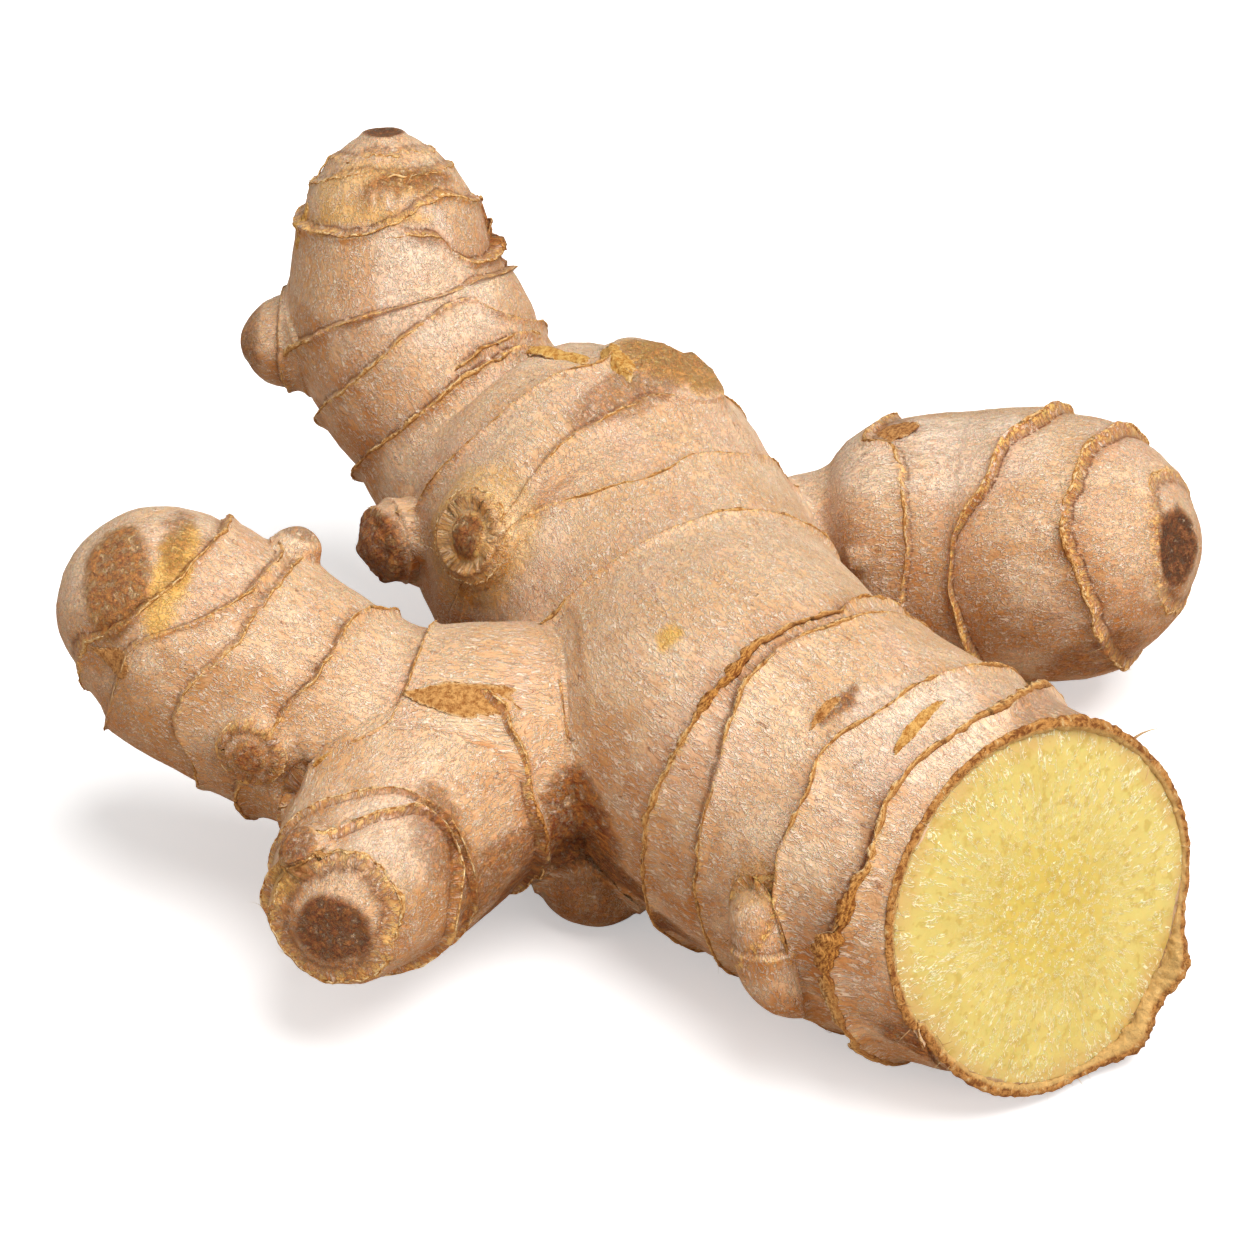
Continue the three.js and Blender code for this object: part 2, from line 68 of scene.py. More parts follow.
# Each finger is a curve through rows of x, y, z and radius, from its foot to its tip. up is the
# side of it that angles are counted from, cap the length of its rounded end, dimple the depth
# of the scar in its tip, and fillet how widely its foot flows into what it grew from. A ring
# goes round through places of degrees and distance from the foot, and has a height. Past a
# ring with a step the finger stays thinner, and one with a span goes only partly round.
FINGERS = {
    "stem": {
        "rows": [
            [50.5, -56, 20.5, 18.5], [44, -48.5, 21.2, 19.8], [39, -45, 21.4, 20.6],
            [33, -41, 21.4, 21.6], [26.5, -34.5, 21.9, 22], [19, -27, 22.7, 22],
            [13.5, -18.5, 22.4, 21.5], [8.5, -4.5, 21.6, 20.7], [2.2, 12.4, 21.8, 22.2],
            [-4.5, 22.5, 24.7, 23.2], [-12, 29.8, 26.8, 20], [-17.6, 34.7, 28.8, 16.2],
            [-21, 38.3, 32.4, 15.3], [-25, 42.5, 37.2, 15.5], [-28.5, 46.8, 43.8, 14.5],
            [-29.7, 49.4, 53.4, 12], [-30.3, 51.9, 64.5, 10.5],
        ],
        "up": [0, 0, 1],
        "cap": 12,
        "dimple": 0.6,
        "fillet": 6,
        "rings": [
            {"height": 1.4, "places": [
                [4, 17], [60, 17.5], [120, 19], [180, 19.4], [222, 20.5], [249, 21.5], [276, 22],
                [300, 21.2], [332, 20.8],
            ]},
            {"height": 0.8, "places": [
                [18, 26.8], [80, 25.6], [140, 24.8], [200, 24.4], [243, 25], [273, 25.8],
                [291, 27.6], [314, 28.3], [326, 29.5], [345, 27.4],
            ]},
            {"height": 0.5, "places": [
                [0, 40.8], [60, 40], [120, 38.5], [180, 37.2], [240, 36.8], [268, 38], [300, 39.2],
                [326, 41], [340, 41.5],
            ]},
            {"height": 1, "places": [
                [9, 42.2], [24, 43.8], [36, 44.5], [80, 45], [130, 45.5], [200, 45], [267, 43.5],
                [291, 43], [320, 42.8], [348, 42.8],
            ]},
            {"height": 0.7, "places": [
                [9, 68.8], [36, 70.5], [80, 73], [150, 72], [220, 71], [270, 70.3], [292, 68.8],
                [312, 68.6], [332, 66.8], [354, 67.2],
            ]},
            {"height": 0.5, "places": [
                [0, 79.6], [12, 82.6], [29, 83.8], [58, 89], [81, 90.5], [130, 91], [200, 90.5],
                [260, 91.3], [306, 90.5], [322, 84.5], [340, 80.5],
            ]},
            {"height": 0.3, "places": [
                [10, 96], [60, 97], [120, 97.5], [180, 97], [250, 95.5], [310, 93.8], [336, 95.8],
            ]},
            {"height": 0.8, "places": [
                [9, 101.8], [60, 102.5], [120, 105], [180, 110], [230, 114], [262, 114.8],
                [290, 112], [306, 110.3], [324, 107.8], [339, 106], [354, 104.6],
            ]},
            {"height": 1, "places": [
                [10, 123.4], [30, 122.2], [80, 122], [130, 122.4], [190, 123.6], [250, 123.8],
                [284, 122.8], [318, 122.5], [342, 123.3],
            ]},
            {"height": 0.9, "span": [332, 48], "places": [
                [0, 125.2], [90, 124], [180, 125], [320, 124.6],
            ]},
            {"height": 0.7, "places": [
                [9, 131.4], [24, 128], [57, 126.4], [100, 126.8], [160, 129], [242, 131],
                [302, 131.2], [334, 132.8], [357, 134],
            ]},
            {"height": 0.8, "places": [
                [0, 141], [12, 142.4], [40, 141], [90, 139], [150, 138], [210, 138], [262, 138.1],
                [303, 139.3], [340, 139.8],
            ]},
            {"height": 1, "span": [326, 110], "places": [
                [6, 147.2], [22, 145.2], [46, 144.8], [90, 146], [150, 147.5], [220, 148.5],
                [300, 149.4], [336, 150.4], [357, 149.4],
            ]},
            {"height": 0.7, "places": [
                [15, 154.3], [36, 152.4], [90, 151], [150, 151], [220, 151.4], [267, 151],
                [306, 150.8], [339, 152.4], [357, 153.7],
            ]},
            {"height": 0.4, "places": [
                [20, 156.8], [90, 156], [180, 155.2], [232, 155], [268, 156.3], [308, 157.4],
                [346, 156.9],
            ]},
            {"height": 0.3, "places": [
                [10, 159], [90, 158.2], [180, 157.8], [280, 158.6], [314, 159.2],
            ]},
        ],
    },
    "left": {
        "rows": [
            [2.7, -8.2, 16, 12.3], [-7.7, -14.4, 17.5, 13.6], [-16.8, -18.4, 20.5, 13.9],
            [-27.2, -17.6, 21.8, 13.4], [-36.8, -15.4, 25.1, 14.2], [-44.1, -13.2, 28.5, 14.1],
            [-50.9, -11.2, 31.6, 14.1], [-57.1, -10.8, 34.1, 13.2], [-64.5, -12.1, 35.8, 11.3],
        ],
        "up": [0, 0, 1],
        "cap": 12,
        "fillet": 6,
        "rings": [
            {"height": 0.5, "places": [
                [0, 30], [60, 31], [120, 33], [180, 35.5], [230, 37.5], [270, 36.5], [287, 34],
                [303, 31], [320, 30.5],
            ]},
            {"height": 0.8, "places": [
                [15, 38.4], [60, 38], [120, 39.5], [180, 42], [212, 43.4], [242, 45], [285, 44],
                [314, 42.2], [350, 41.6],
            ]},
            {"height": 0.4, "places": [
                [32, 52], [90, 51.5], [150, 50], [200, 48.6], [237, 49.8], [252, 53], [279, 54],
                [300, 52.4], [327, 51.8], [350, 51.5],
            ]},
            {"height": 0.6, "places": [
                [9, 53.6], [27, 55], [70, 57], [120, 60], [170, 63], [220, 65.2], [260, 66.5],
                [285, 65], [296, 60.8], [306, 57], [324, 54.4], [342, 53.4],
            ]},
            {"height": 0.8, "places": [
                [10, 59.8], [60, 61], [120, 65], [180, 69], [230, 71.6], [266, 71.4], [280, 70],
                [302, 65.6], [321, 62.3], [346, 60.3],
            ]},
        ],
    },
    "front": {
        "rows": [
            [-12.3, -14.9, 18.5, 11.5], [-17.8, -21.9, 18.8, 12.7], [-23.1, -29.7, 17.9, 12.5],
            [-27.2, -36.5, 17.9, 11.7], [-28.6, -41, 18.3, 10.9], [-30, -46, 19.2, 9.2],
            [-31.4, -51.8, 20.4, 7.6],
        ],
        "up": [0, 0, 1],
        "cap": 3.6,
        "dimple": 0.9,
        "fillet": 6,
        "rings": [
            {"height": 0.5, "places": [
                [0, 1.4], [90, 2], [180, 3], [240, 3], [272, 2.2], [296, 2.8], [310, 3.5],
                [327, 2.4], [342, 1.6],
            ]},
            {"height": 0.8, "places": [
                [30, 9], [90, 9.5], [180, 12], [250, 13.5], [292, 13.4], [309, 11.9], [321, 11],
                [336, 9.8],
            ]},
            {"height": 0.4, "places": [
                [16, 31.2], [38, 32], [60, 32.2], [100, 30.5], [180, 27], [260, 26], [290, 25.8],
                [312, 25.2], [330, 26.4], [345, 27.8], [358, 29.5],
            ]},
            {"height": 0.7, "places": [
                [16, 38], [50, 38.2], [100, 37], [180, 33.5], [226, 30.5], [258, 31.5], [278, 30.8],
                [294, 29], [312, 27.3], [328, 29], [342, 32], [357, 35],
            ]},
            {"height": 0.6, "step": 0.5, "places": [
                [0, 39.9], [30, 40.2], [90, 40.5], [150, 40.5], [248, 40.9], [279, 40.7],
                [296, 40.2], [339, 39.8],
            ]},
        ],
    },
    "right": {
        "rows": [
            [8, 27, 14, 9.5], [15, 32, 13.5, 9.6], [21, 34.2, 14, 9.5], [27.5, 33.5, 15.4, 11],
            [34, 32.4, 16.9, 16.2], [44.5, 30.1, 17.3, 17.6], [54.1, 26.5, 19.8, 17.1],
            [61.6, 23.1, 22.1, 15], [70, 19.7, 24.2, 12.7],
        ],
        "up": [0, 0, 1],
        "cap": 12,
        "dimple": 1,
        "fillet": 6,
        "rings": [
            {"height": 0.6, "places": [
                [0, 26.8], [7, 29], [18, 30], [29, 30.4], [60, 31.5], [110, 31], [180, 29.5],
                [250, 28.5], [320, 28.5], [345, 27.4],
            ]},
            {"height": 1.1, "places": [
                [6, 47.6], [27, 46.3], [39, 43.5], [50, 40.6], [69, 39.4], [80, 40.4], [104, 41.5],
                [150, 43.5], [210, 46], [270, 48.5], [320, 50.3], [350, 50.3],
            ]},
            {"height": 0.9, "places": [
                [0, 57.6], [24, 57], [46, 56.6], [70, 58], [111, 58.8], [160, 58], [230, 57.5],
                [300, 58.8], [346, 58.6],
            ]},
            {"height": 0.5, "places": [
                [9, 63.8], [38, 64.6], [62, 64.9], [87, 64.8], [128, 65.1], [200, 65], [270, 65],
                [334, 64.4],
            ]},
        ],
    },
    "underBud": {
        "rows": [
            [-1, -9, 9, 8], [-3, -19, 7.5, 7.5], [-4.8, -29.5, 6.7, 6.8],
        ],
        "up": [0, 0, 1],
        "cap": 6,
        "fillet": 3,
        "rings": [
            {"height": 0.4, "places": [[0, 13], [180, 13.5]]},
        ],
    },
    "backBud": {
        "rows": [
            [-33, 44, 40, 6.6], [-41.5, 46.6, 38, 6.1], [-48.9, 47.6, 37.5, 5.7],
        ],
        "up": [0, 0, 1],
        "cap": 5.5,
        "fillet": 2,
        "rings": [
            {"height": 0.4, "places": [[0, 9.5], [180, 10.5]]},
        ],
    },
    "sideBud": {
        "rows": [
            [-23.5, 19.8, 26, 5.2], [-28.6, 17.6, 25.9, 4.6], [-32.2, 15.6, 25.9, 3.6],
        ],
        "up": [0, 0, 1],
        "cap": 3.4,
        "fillet": 1.5,
        "rings": [
            {"height": 0.5, "places": [[0, 7], [180, 7.6]]},
        ],
    },
    "stemEye": {
        "rows": [
            [-13.8, 10, 31.4, 7], [-17.1, 6.6, 33.5, 5.4], [-19.2, 4.4, 34.9, 4],
        ],
        "up": [0, 0, 1],
        "cap": 3,
        "dimple": 1,
        "fillet": 2.5,
        "rings": [
            {"height": 0.4, "places": [[0, 6.6], [180, 6.6]]},
        ],
    },
    "stemBud": {
        "rows": [
            [18, -50.5, 10.5, 2.6], [15.8, -53.2, 15, 3.4], [14.6, -52.9, 20, 3.8],
            [13.4, -51.3, 25.6, 3],
        ],
        "up": [-1, 0, 0],
        "cap": 3,
        "fillet": 1,
        "rings": [
            {"height": 0.3, "places": [[0, 11], [180, 10]]},
        ],
    },
    "leftEye": {
        "rows": [
            [-40.1, -23, 26.8, 4.8], [-41.2, -27.9, 27.3, 3.8], [-41.8, -30.9, 27.6, 2.8],
        ],
        "up": [0, 0, 1],
        "cap": 2.2,
        "dimple": 0.8,
        "fillet": 1.5,
        "rings": [
            {"height": 0.3, "places": [[0, 6.2], [180, 6.2]]},
        ],
    },
    "leftPip": {
        "rows": [
            [-38.5, -7.5, 38.4, 3.2], [-37.3, -6.6, 40.6, 2.8], [-36.6, -6, 42.4, 2.1],
        ],
        "up": [1, 0, 0],
        "cap": 2,
        "fillet": 1,
        "rings": [],
    },
    "frontBud": {
        "rows": [
            [-32.6, -44.6, 24.5, 3], [-34.6, -46.2, 26.9, 2.4], [-35.5, -46.9, 28.2, 1.8],
        ],
        "up": [1, 0, 0],
        "cap": 1.6,
        "fillet": 1,
        "rings": [],
    },
    "topScar": {
        "rows": [
            [2.4, 23.8, 40.3, 8.2], [4.6, 24.3, 45.3, 7.2], [5.4, 24.5, 47.2, 6.2],
        ],
        "up": [1, 0, 0],
        "cap": 1.2,
        "fillet": 1.5,
        "rings": [],
    },
    "rearBud": {
        "rows": [
            [24, -6.3, 17, 6], [29.4, -4.6, 15.3, 4.8], [32.8, -3.6, 14.3, 3.8],
        ],
        "up": [0, 0, 1],
        "cap": 3,
        "fillet": 2,
        "rings": [
            {"height": 0.4, "places": [[0, 6.6], [180, 6.2]]},
        ],
    },
}


def smooth(x):
    """0 below 0, 1 above 1, and level at both ends: 3 f squared less 2 f cubed."""
    f = np.clip(x, 0, 1)
    return f * f * (3 - 2 * f)


def unit(vectors):
    """Each vector over its own length."""
    return vectors / np.maximum(np.linalg.norm(vectors, axis=-1, keepdims=True), 1e-9)


def wave(angle, seed):
    """The sum over k from 1 to 5 of sin(k angle + phase) over root k, divided by 2.4."""
    k = np.arange(1, 6)
    phase = TAU * np.abs(np.sin(seed * 12.9898 + k * 78.233) * 43758.5453)
    turns = np.asarray(angle, float)[..., None] * k + phase
    return (np.sin(turns) / np.sqrt(k)).sum(-1) / 2.4


def lumps(points, size, seed):
    """Random heights from -1 to 1 on a lattice with cells of that size, joined smoothly."""
    lattice = np.random.default_rng(seed).uniform(-1, 1, (LATTICE, LATTICE, LATTICE))
    cell = np.floor(points / size).astype(int)
    f = smooth(points / size - cell)
    total = np.zeros(points.shape[:-1])
    for corner in np.ndindex(2, 2, 2):
        share = np.where(corner, f, 1 - f).prod(-1)
        x, y, z = np.moveaxis((cell + corner) % LATTICE, -1, 0)
        total += share * lattice[x, y, z]
    return total


def rough(points, size, seed):
    """Lumps of one size, half as high at half the size, and a quarter at a quarter."""
    return sum(lumps(points, size / 2**k, seed + k) / 2**k for k in range(3)) / 1.75


def through(rows, t):
    """One smooth curve through rows of numbers: t counts rows, and slopes join neighbours."""
    i = np.clip(np.floor(t).astype(int), 0, len(rows) - 2)
    f = (t - i)[:, None]
    before, here, after = rows[np.maximum(i - 1, 0)], rows[i], rows[i + 1]
    later = rows[np.minimum(i + 2, len(rows) - 1)]
    bend = 2 * before - 5 * here + 4 * after - later
    turn = 3 * (here - after) + later - before
    return here + 0.5 * f * (after - before + f * (bend + f * turn))


def grow(name, plan):
    """The middle line of a finger, sampled closely, with a frame that doesn't twist."""
    rows = np.array(plan["rows"], float)
    count = (len(rows) - 1) * SAMPLES_A_ROW + 1
    row = through(rows, np.arange(count) / SAMPLES_A_ROW)
    middle = row[:, :3]
    ahead = middle[np.minimum(np.arange(count) + 1, count - 1)]
    behind = middle[np.maximum(np.arange(count) - 1, 0)]
    along = unit(ahead - behind)
    up = np.zeros_like(along)
    reference = np.array(plan["up"], float)
    for i in range(count):
        reference = unit(reference - along[i] * (reference @ along[i]))
        up[i] = reference
    steps = np.linalg.norm(np.diff(middle, axis=0), axis=1)
    distance = np.concatenate([[0], np.cumsum(steps)])
    finger = {
        "name": name,
        "plan": plan,
        "middle": middle,
        "along": along,
        "up": up,
        "side": np.cross(along, up),
        "radius": row[:, 3],
        "distance": distance,
        "length": distance[-1],
    }
    finger["girth"] = finger["radius"] * cap_share(finger, distance)
    return finger


def cap_share(finger, distance):
    """A finger's end is rounded off over the length of its cap, as a half ellipse."""
    left = np.clip((finger["length"] - distance) / finger["plan"]["cap"], 0, 1)
    return np.sqrt(left * (2 - left))


def sample_at(finger, distance, part):
    """The middle line's values of one kind at these distances, in straight steps."""
    values = finger[part]
    if values.ndim == 1:
        return np.interp(distance, finger["distance"], values)
    columns = [np.interp(distance, finger["distance"], column) for column in values.T]
    return np.stack(columns, axis=-1)


def gap_to(finger, points):
    """The least distance from each point to the finger's samples, less the girth there."""
    middle = finger["middle"]
    squared = (points**2).sum(1)[:, None] - 2 * points @ middle.T + (middle**2).sum(1)
    gap = np.sqrt(np.maximum(squared, 0)) - finger["girth"]
    nearest = gap.argmin(1)
    return gap[np.arange(len(points)), nearest], unit(points - middle[nearest])


def weld(finger, others, start):
    """Pushes points out along both fingers' normals to the surface that joins them smoothly."""
    points = start.copy()
    for other in others:
        reach = min(finger["plan"]["fillet"], other["plan"]["fillet"])
        near = np.flatnonzero(gap_to(other, points)[0] < reach + 2)
        for _ in range(3):
            own_gap, own_out = gap_to(finger, points[near])
            gap, out = gap_to(other, points[near])
            nearness = np.maximum(reach - np.abs(own_gap - gap), 0) / reach
            live = (nearness > 0) & (gap >= -2)
            near, own_gap, gap, nearness = near[live], own_gap[live], gap[live], nearness[live]
            share = np.clip(0.5 + (gap - own_gap) / (2 * reach), 0, 1)[:, None]
            field = np.minimum(own_gap, gap) - nearness**2 * reach / 4
            way = own_out[live] * share + out[live] * (1 - share)
            push = -field * smooth((gap + 2) / 2) / np.maximum((way**2).sum(1), 0.3)
            points[near] += way * push[:, None]
    return points


def ring_place(ring, angle):
    """Where a ring stands at each angle: a closed curve through its places, with a fine wobble."""
    places = np.array(ring["places"], float)
    before, after = places - [360, 0], places + [360, 0]
    row = np.vstack([before, places, after])
    degrees = np.degrees(angle) % 360
    i = np.searchsorted(row[:, 0], degrees, side="right") - 1
    a, d = row[:, 0], row[:, 1]
    span = a[i + 1] - a[i]
    f = (degrees - a[i]) / span
    leave = span * (d[i + 1] - d[i - 1]) / (a[i + 1] - a[i - 1])
    arrive = span * (d[i + 2] - d[i]) / (a[i + 2] - a[i])
    curve = (d[i + 1] - d[i]) * smooth(f) + f * (1 - f) * ((1 - f) * leave - f * arrive)
    wobble = RING_WOBBLE * (wave(angle * 6, row[0, 1]) + 0.4 * wave(angle * 17, row[1, 1]))
    return d[i] + curve + wobble


def ring_share(ring, angle):
    """1 where a ring stands, fading over 20 degrees at the ends of one that goes partly round."""
    if "span" not in ring:
        return np.ones_like(angle)
    start, end = ring["span"]
    width = (end - start) % 360
    into = (np.degrees(angle) - start) % 360
    return smooth(into / 20) * smooth((width - into) / 20)


def relief(finger, distance, angle, radius):
    """Height over the smooth finger: slow swells, and at each ring a ridge and a step down."""
    height = LUMP * radius * np.sin(distance / 7 + 2 * wave(angle, finger["plan"]["cap"]))
    for i, ring in enumerate(finger["plan"]["rings"]):
        past = distance - ring_place(ring, angle)
        share = ring_share(ring, angle) * ring["height"]
        ragged = 0.75 + 0.35 * wave(angle * 3, i + 5)
        width = np.where(past < 0, RIDGE_WIDTH, LIP_WIDTH)
        height += share * ragged * np.exp(-((past / width) ** 2))
        beyond = np.maximum(past, 0)
        drop = np.minimum(share, 1) * RING_DROP * smooth(past / 0.5)
        height -= drop * np.exp(-beyond / RING_FADE)
        height -= ring.get("step", 0) * smooth(past / 1.5)
    return height


def on_skin(finger, distance, angle, proud=0.0):
    """The point at a distance and an angle on a finger, that far proud of its skin.

    The relief fades out towards the very tip, where all angles meet.
    """
    distance, angle, proud = np.broadcast_arrays(distance, angle, proud)
    radius = sample_at(finger, distance, "radius") * cap_share(finger, distance)
    up, side = (unit(sample_at(finger, distance, part)) for part in ("up", "side"))
    out = up * np.cos(angle)[..., None] + side * np.sin(angle)[..., None]
    plain = sample_at(finger, distance, "middle") + out * radius[..., None]
    others = [other for other in fingers.values() if other is not finger]
    welded = weld(finger, others, plain.reshape(-1, 3)).reshape(plain.shape)
    rounding = smooth(1.6 * cap_share(finger, distance))
    height = relief(finger, distance, angle, radius) * rounding + proud
    return welded + out * height[..., None]


def section_lines(finger, angle):
    """Distances of the section lines at each angle: beside each ring, and evenly between.

    A ring near the tip has only those of its lines that lie well before the end.
    """
    lines = [np.zeros_like(angle)]
    step = min(LINE_STEP, 0.1 * finger["radius"].max())
    for ring in finger["plan"]["rings"]:
        place = ring_place(ring, angle)
        first = place + RING_LINES[0]
        count = max(1, math.ceil((first - lines[-1]).mean() / step))
        start = lines[-1]
        lines += [start + (first - start) * k / count for k in range(1, count)]
        room = (finger["length"] - place).min()
        lines += [place + offset for offset in RING_LINES if offset < 0.5 * room]
    creep = LEAST_STEP * np.arange(len(lines))[:, None]
    lines = np.maximum.accumulate(np.array(lines) - creep, axis=0) + creep
    start = lines[-1]
    left = finger["length"] - start
    count = max(TIP_LINES, math.ceil(left.mean() / step))
    ease = np.sin(math.pi / 2 * np.arange(1, count) / count)
    return np.vstack([lines, start + left * ease[:, None]])


def tube_faces(rows, columns, foot, tip):
    """Quads that join rows of columns round a tube, with a fan at the foot and one at the tip."""
    i, j = np.meshgrid(np.arange(rows - 1), np.arange(columns), indexing="ij")
    here, beside = i * columns + j, i * columns + (j + 1) % columns
    quads = np.stack([here, beside, beside + columns, here + columns], -1).reshape(-1, 4)
    around = np.arange(columns)
    after = (around + 1) % columns
    start = np.stack([np.full(columns, foot), after, around], -1)
    last = (rows - 1) * columns
    end = np.stack([np.full(columns, tip), last + around, last + after], -1)
    return quads.tolist() + start.tolist() + end.tolist()


def grid_normals(points):
    """Out of a tube's grid: the step to the next column crossed with the step to the next row."""
    around = np.roll(points, -1, axis=1) - np.roll(points, 1, axis=1)
    return unit(np.cross(around, np.gradient(points, axis=0)))


# What the skin carries at single places. at is the distance from the finger's foot and the
# degrees round it, or nothing for the finger's tip. size is half the length along the finger
# and half the width round it. The kinds in STAINS_SHEEN_AND_SHADE are how strong each is: brown, dark
# and yellow are stains, pale is a painted sheen and tan a painted shade on the lower flanks. pit is a
# hollow's depth, rim the height of the wall round it, rounds the number of fine rounds inside it, crust
# how high rough lumps stand in it, and collar the strength of a golden line round its edge.
STAINS_SHEEN_AND_SHADE = ["pale", "tan", "brown", "dark", "yellow"]
MARKS = [
    {"on": "stem", "at": [49.8, 328], "size": [1.6, 1.9], "yellow": 1.1, "pit": 0.2},
    {"on": "stem", "size": [2.6, 2.4], "dark": 0.7, "brown": 0.9, "pit": 0.5, "rim": 0.4},
    {"on": "stem", "at": [146, 64], "size": [4.6, 2.8], "brown": 0.9, "crust": 1.1},
    {"on": "stem", "at": [28.6, 272], "size": [3.4, 5.6], "brown": 0.12, "collar": 1.0},
    {"on": "stem", "at": [32.2, 340], "size": [0.8, 3.4], "brown": 0.8, "rim": 0.2},
    {"on": "stem", "at": [157.2, 318], "size": [2.2, 9], "yellow": 0.5},
    {"on": "stem", "at": [156.4, 350], "size": [1.3, 6.5], "brown": 0.7, "rim": 0.2},
    {"on": "stem", "at": [152.8, 312], "size": [1.1, 9], "yellow": 0.6},
    {"on": "stem", "at": [96.5, 300], "size": [8.4, 9.6], "yellow": 0.45, "rim": 0.2},
    {"on": "stem", "at": [97.5, 5], "size": [3.6, 9], "brown": 0.4},
    {"on": "stem", "at": [99, 28], "size": [2.4, 7], "yellow": 0.6, "brown": 0.6, "crust": 0.4},
    {"on": "stem", "at": [13, 308], "size": [6, 5], "brown": 0.6},
    {"on": "stem", "at": [11, 250], "size": [4.5, 3.6], "brown": 0.8, "crust": 0.6},
    {"on": "stem", "at": [12, 20], "size": [7, 9], "brown": 0.4},
    {"on": "stemEye", "size": [2.7, 2.4], "brown": 0.9, "dark": 0.25, "crust": 0.5, "collar": 1},
    {"on": "stemEye", "size": [4.3, 3.9], "yellow": 0.5, "rim": 0.35, "collar": 0.8},
    {"on": "topScar", "size": [7, 5.5], "yellow": 0.8, "brown": 0.5, "crust": 0.6, "collar": 0.6},
    {"on": "sideBud", "size": [6, 6], "brown": 0.9, "dark": 0.2, "crust": 0.6},
    {"on": "backBud", "size": [6, 6], "brown": 0.6, "rounds": 1},
    {"on": "stemBud", "size": [3.4, 2.8], "yellow": 0.3, "brown": 0.2},
    {"on": "leftEye", "size": [1.9, 1.8], "brown": 0.9, "pit": 0.3, "crust": 0.2, "collar": 0.7},
    {"on": "leftEye", "size": [3.3, 3.0], "brown": 0.3, "rim": 0.35, "collar": 1},
    {"on": "leftPip", "size": [2.4, 2.4], "brown": 0.5},
    {"on": "frontBud", "size": [2.6, 2.6], "brown": 0.8, "crust": 0.3, "collar": 0.6},
    {"on": "front", "size": [3.9, 4.2], "dark": 0.6, "brown": 1, "pit": 0.5, "crust": 0.4, "rim": 0.3},
    {"on": "front", "at": [39.5, 60], "size": [2.6, 3], "yellow": 0.8},
    {"on": "front", "at": [30.5, 300], "size": [3.4, 5.5], "brown": 0.5},
    {"on": "front", "at": [20, 268], "size": [9, 4.5], "brown": 0.55},
    {"on": "front", "at": [6.5, 262], "size": [4.5, 6], "brown": 0.9, "dark": 0.3},
    {"on": "front", "at": [8.6, 270], "size": [4.2, 7.5], "brown": 1, "crust": 0.5},
    {"on": "front", "at": [29, 262], "size": [1.4, 3.8], "brown": 0.8, "crust": 0.5},
    # The pale and tan marks are painted light: pale a painted sheen on patches that face the light, tan
    # a painted shade on the lower flanks.
    {"on": "stem", "at": [24, 348], "size": [8, 9], "pale": 0.6},
    {"on": "stem", "at": [150, 345], "size": [4, 6], "pale": 0.7},
    {"on": "stem", "at": [139, 350], "size": [5, 9], "pale": 0.5},
    {"on": "stem", "at": [13, 335], "size": [5, 6], "pale": 0.5},
    {"on": "left", "at": [45, 268], "size": [22, 9], "tan": 0.9},
    {"on": "front", "at": [24, 290], "size": [10, 9], "tan": 0.9},
    {"on": "right", "at": [50, 70], "size": [13, 13], "tan": 0.6},
    {"on": "right", "at": [34, 8], "size": [15, 8], "pale": 0.6},
    {"on": "front", "at": [34, 330], "size": [6, 6], "pale": 0.5},
    {"on": "front", "at": [24.5, 324], "size": [1.6, 3.2], "brown": 0.5},
    {"on": "right", "at": [66.6, 57], "size": [3.6, 5], "dark": 0.8, "brown": 1, "pit": 0.7, "rim": 0.5},
    {"on": "right", "at": [57, 122], "size": [7, 5], "brown": 0.55},
    {"on": "right", "at": [29, 350], "size": [2.6, 4], "brown": 0.5},
    {"on": "left", "at": [69.2, 322], "size": [4.6, 7.2], "yellow": 0.5, "brown": 0.8, "crust": 0.4},
    {"on": "left", "at": [63.4, 325], "size": [2.2, 8.5], "yellow": 1},
    {"on": "left", "at": [64, 350], "size": [1.6, 6], "brown": 0.5},
    {"on": "underBud", "size": [4, 4], "brown": 0.5, "rounds": 1},
    {"on": "rearBud", "size": [3.4, 3.4], "brown": 0.6, "rounds": 1},
]


def mark_frame(mark):
    """The middle of a mark, and its two axes along and round the finger with the way out."""
    finger = fingers[mark["on"]]
    if "at" not in mark:
        dimple = finger["along"][-1] * finger["plan"].get("dimple", 0)
        middle = finger["middle"][-1] - dimple
        return middle, finger["up"][-1], finger["side"][-1], finger["along"][-1]
    distance, degrees = mark["at"]
    reach = np.array([distance - 0.5, distance + 0.5, distance, distance])
    angle = np.radians([degrees, degrees, degrees - 2, degrees + 2])
    points = on_skin(finger, reach, angle)
    along, around = unit(points[1] - points[0]), unit(points[3] - points[2])
    return points.mean(0), along, around, np.cross(around, along)


def mark_reach(mark, points):
    """How far out in a mark each point lies: 0 in its middle and 1 on its ragged edge."""
    middle, along, around, out = mark_frame(mark)
    length, width = mark["size"]
    gap = points - middle
    own = np.stack([gap @ along / length, gap @ around / width, gap @ out / max(length, width)], -1)
    near = np.linalg.norm(own, axis=-1)
    return near + 0.16 * rough(points, 0.4 * min(length, width) + 0.6, 71) * smooth(near * 2)


def mark_relief(reach, mark, points):
    """The height of a mark: a hollow, a wall round it, and fine rounds or rough lumps inside."""
    height = -mark.get("pit", 0) * (1 - smooth(reach * 1.1))
    height += mark.get("rim", 0) * np.exp(-(((reach - 1) / 0.2) ** 2))
    inside = 1 - smooth((reach - 0.8) / 0.3)
    if "crust" in mark:
        height += mark["crust"] * inside * (0.4 + rough(points, 1.5, 47))
    return height + 0.12 * inside * np.sin(TAU * mark.get("rounds", 0) * reach)


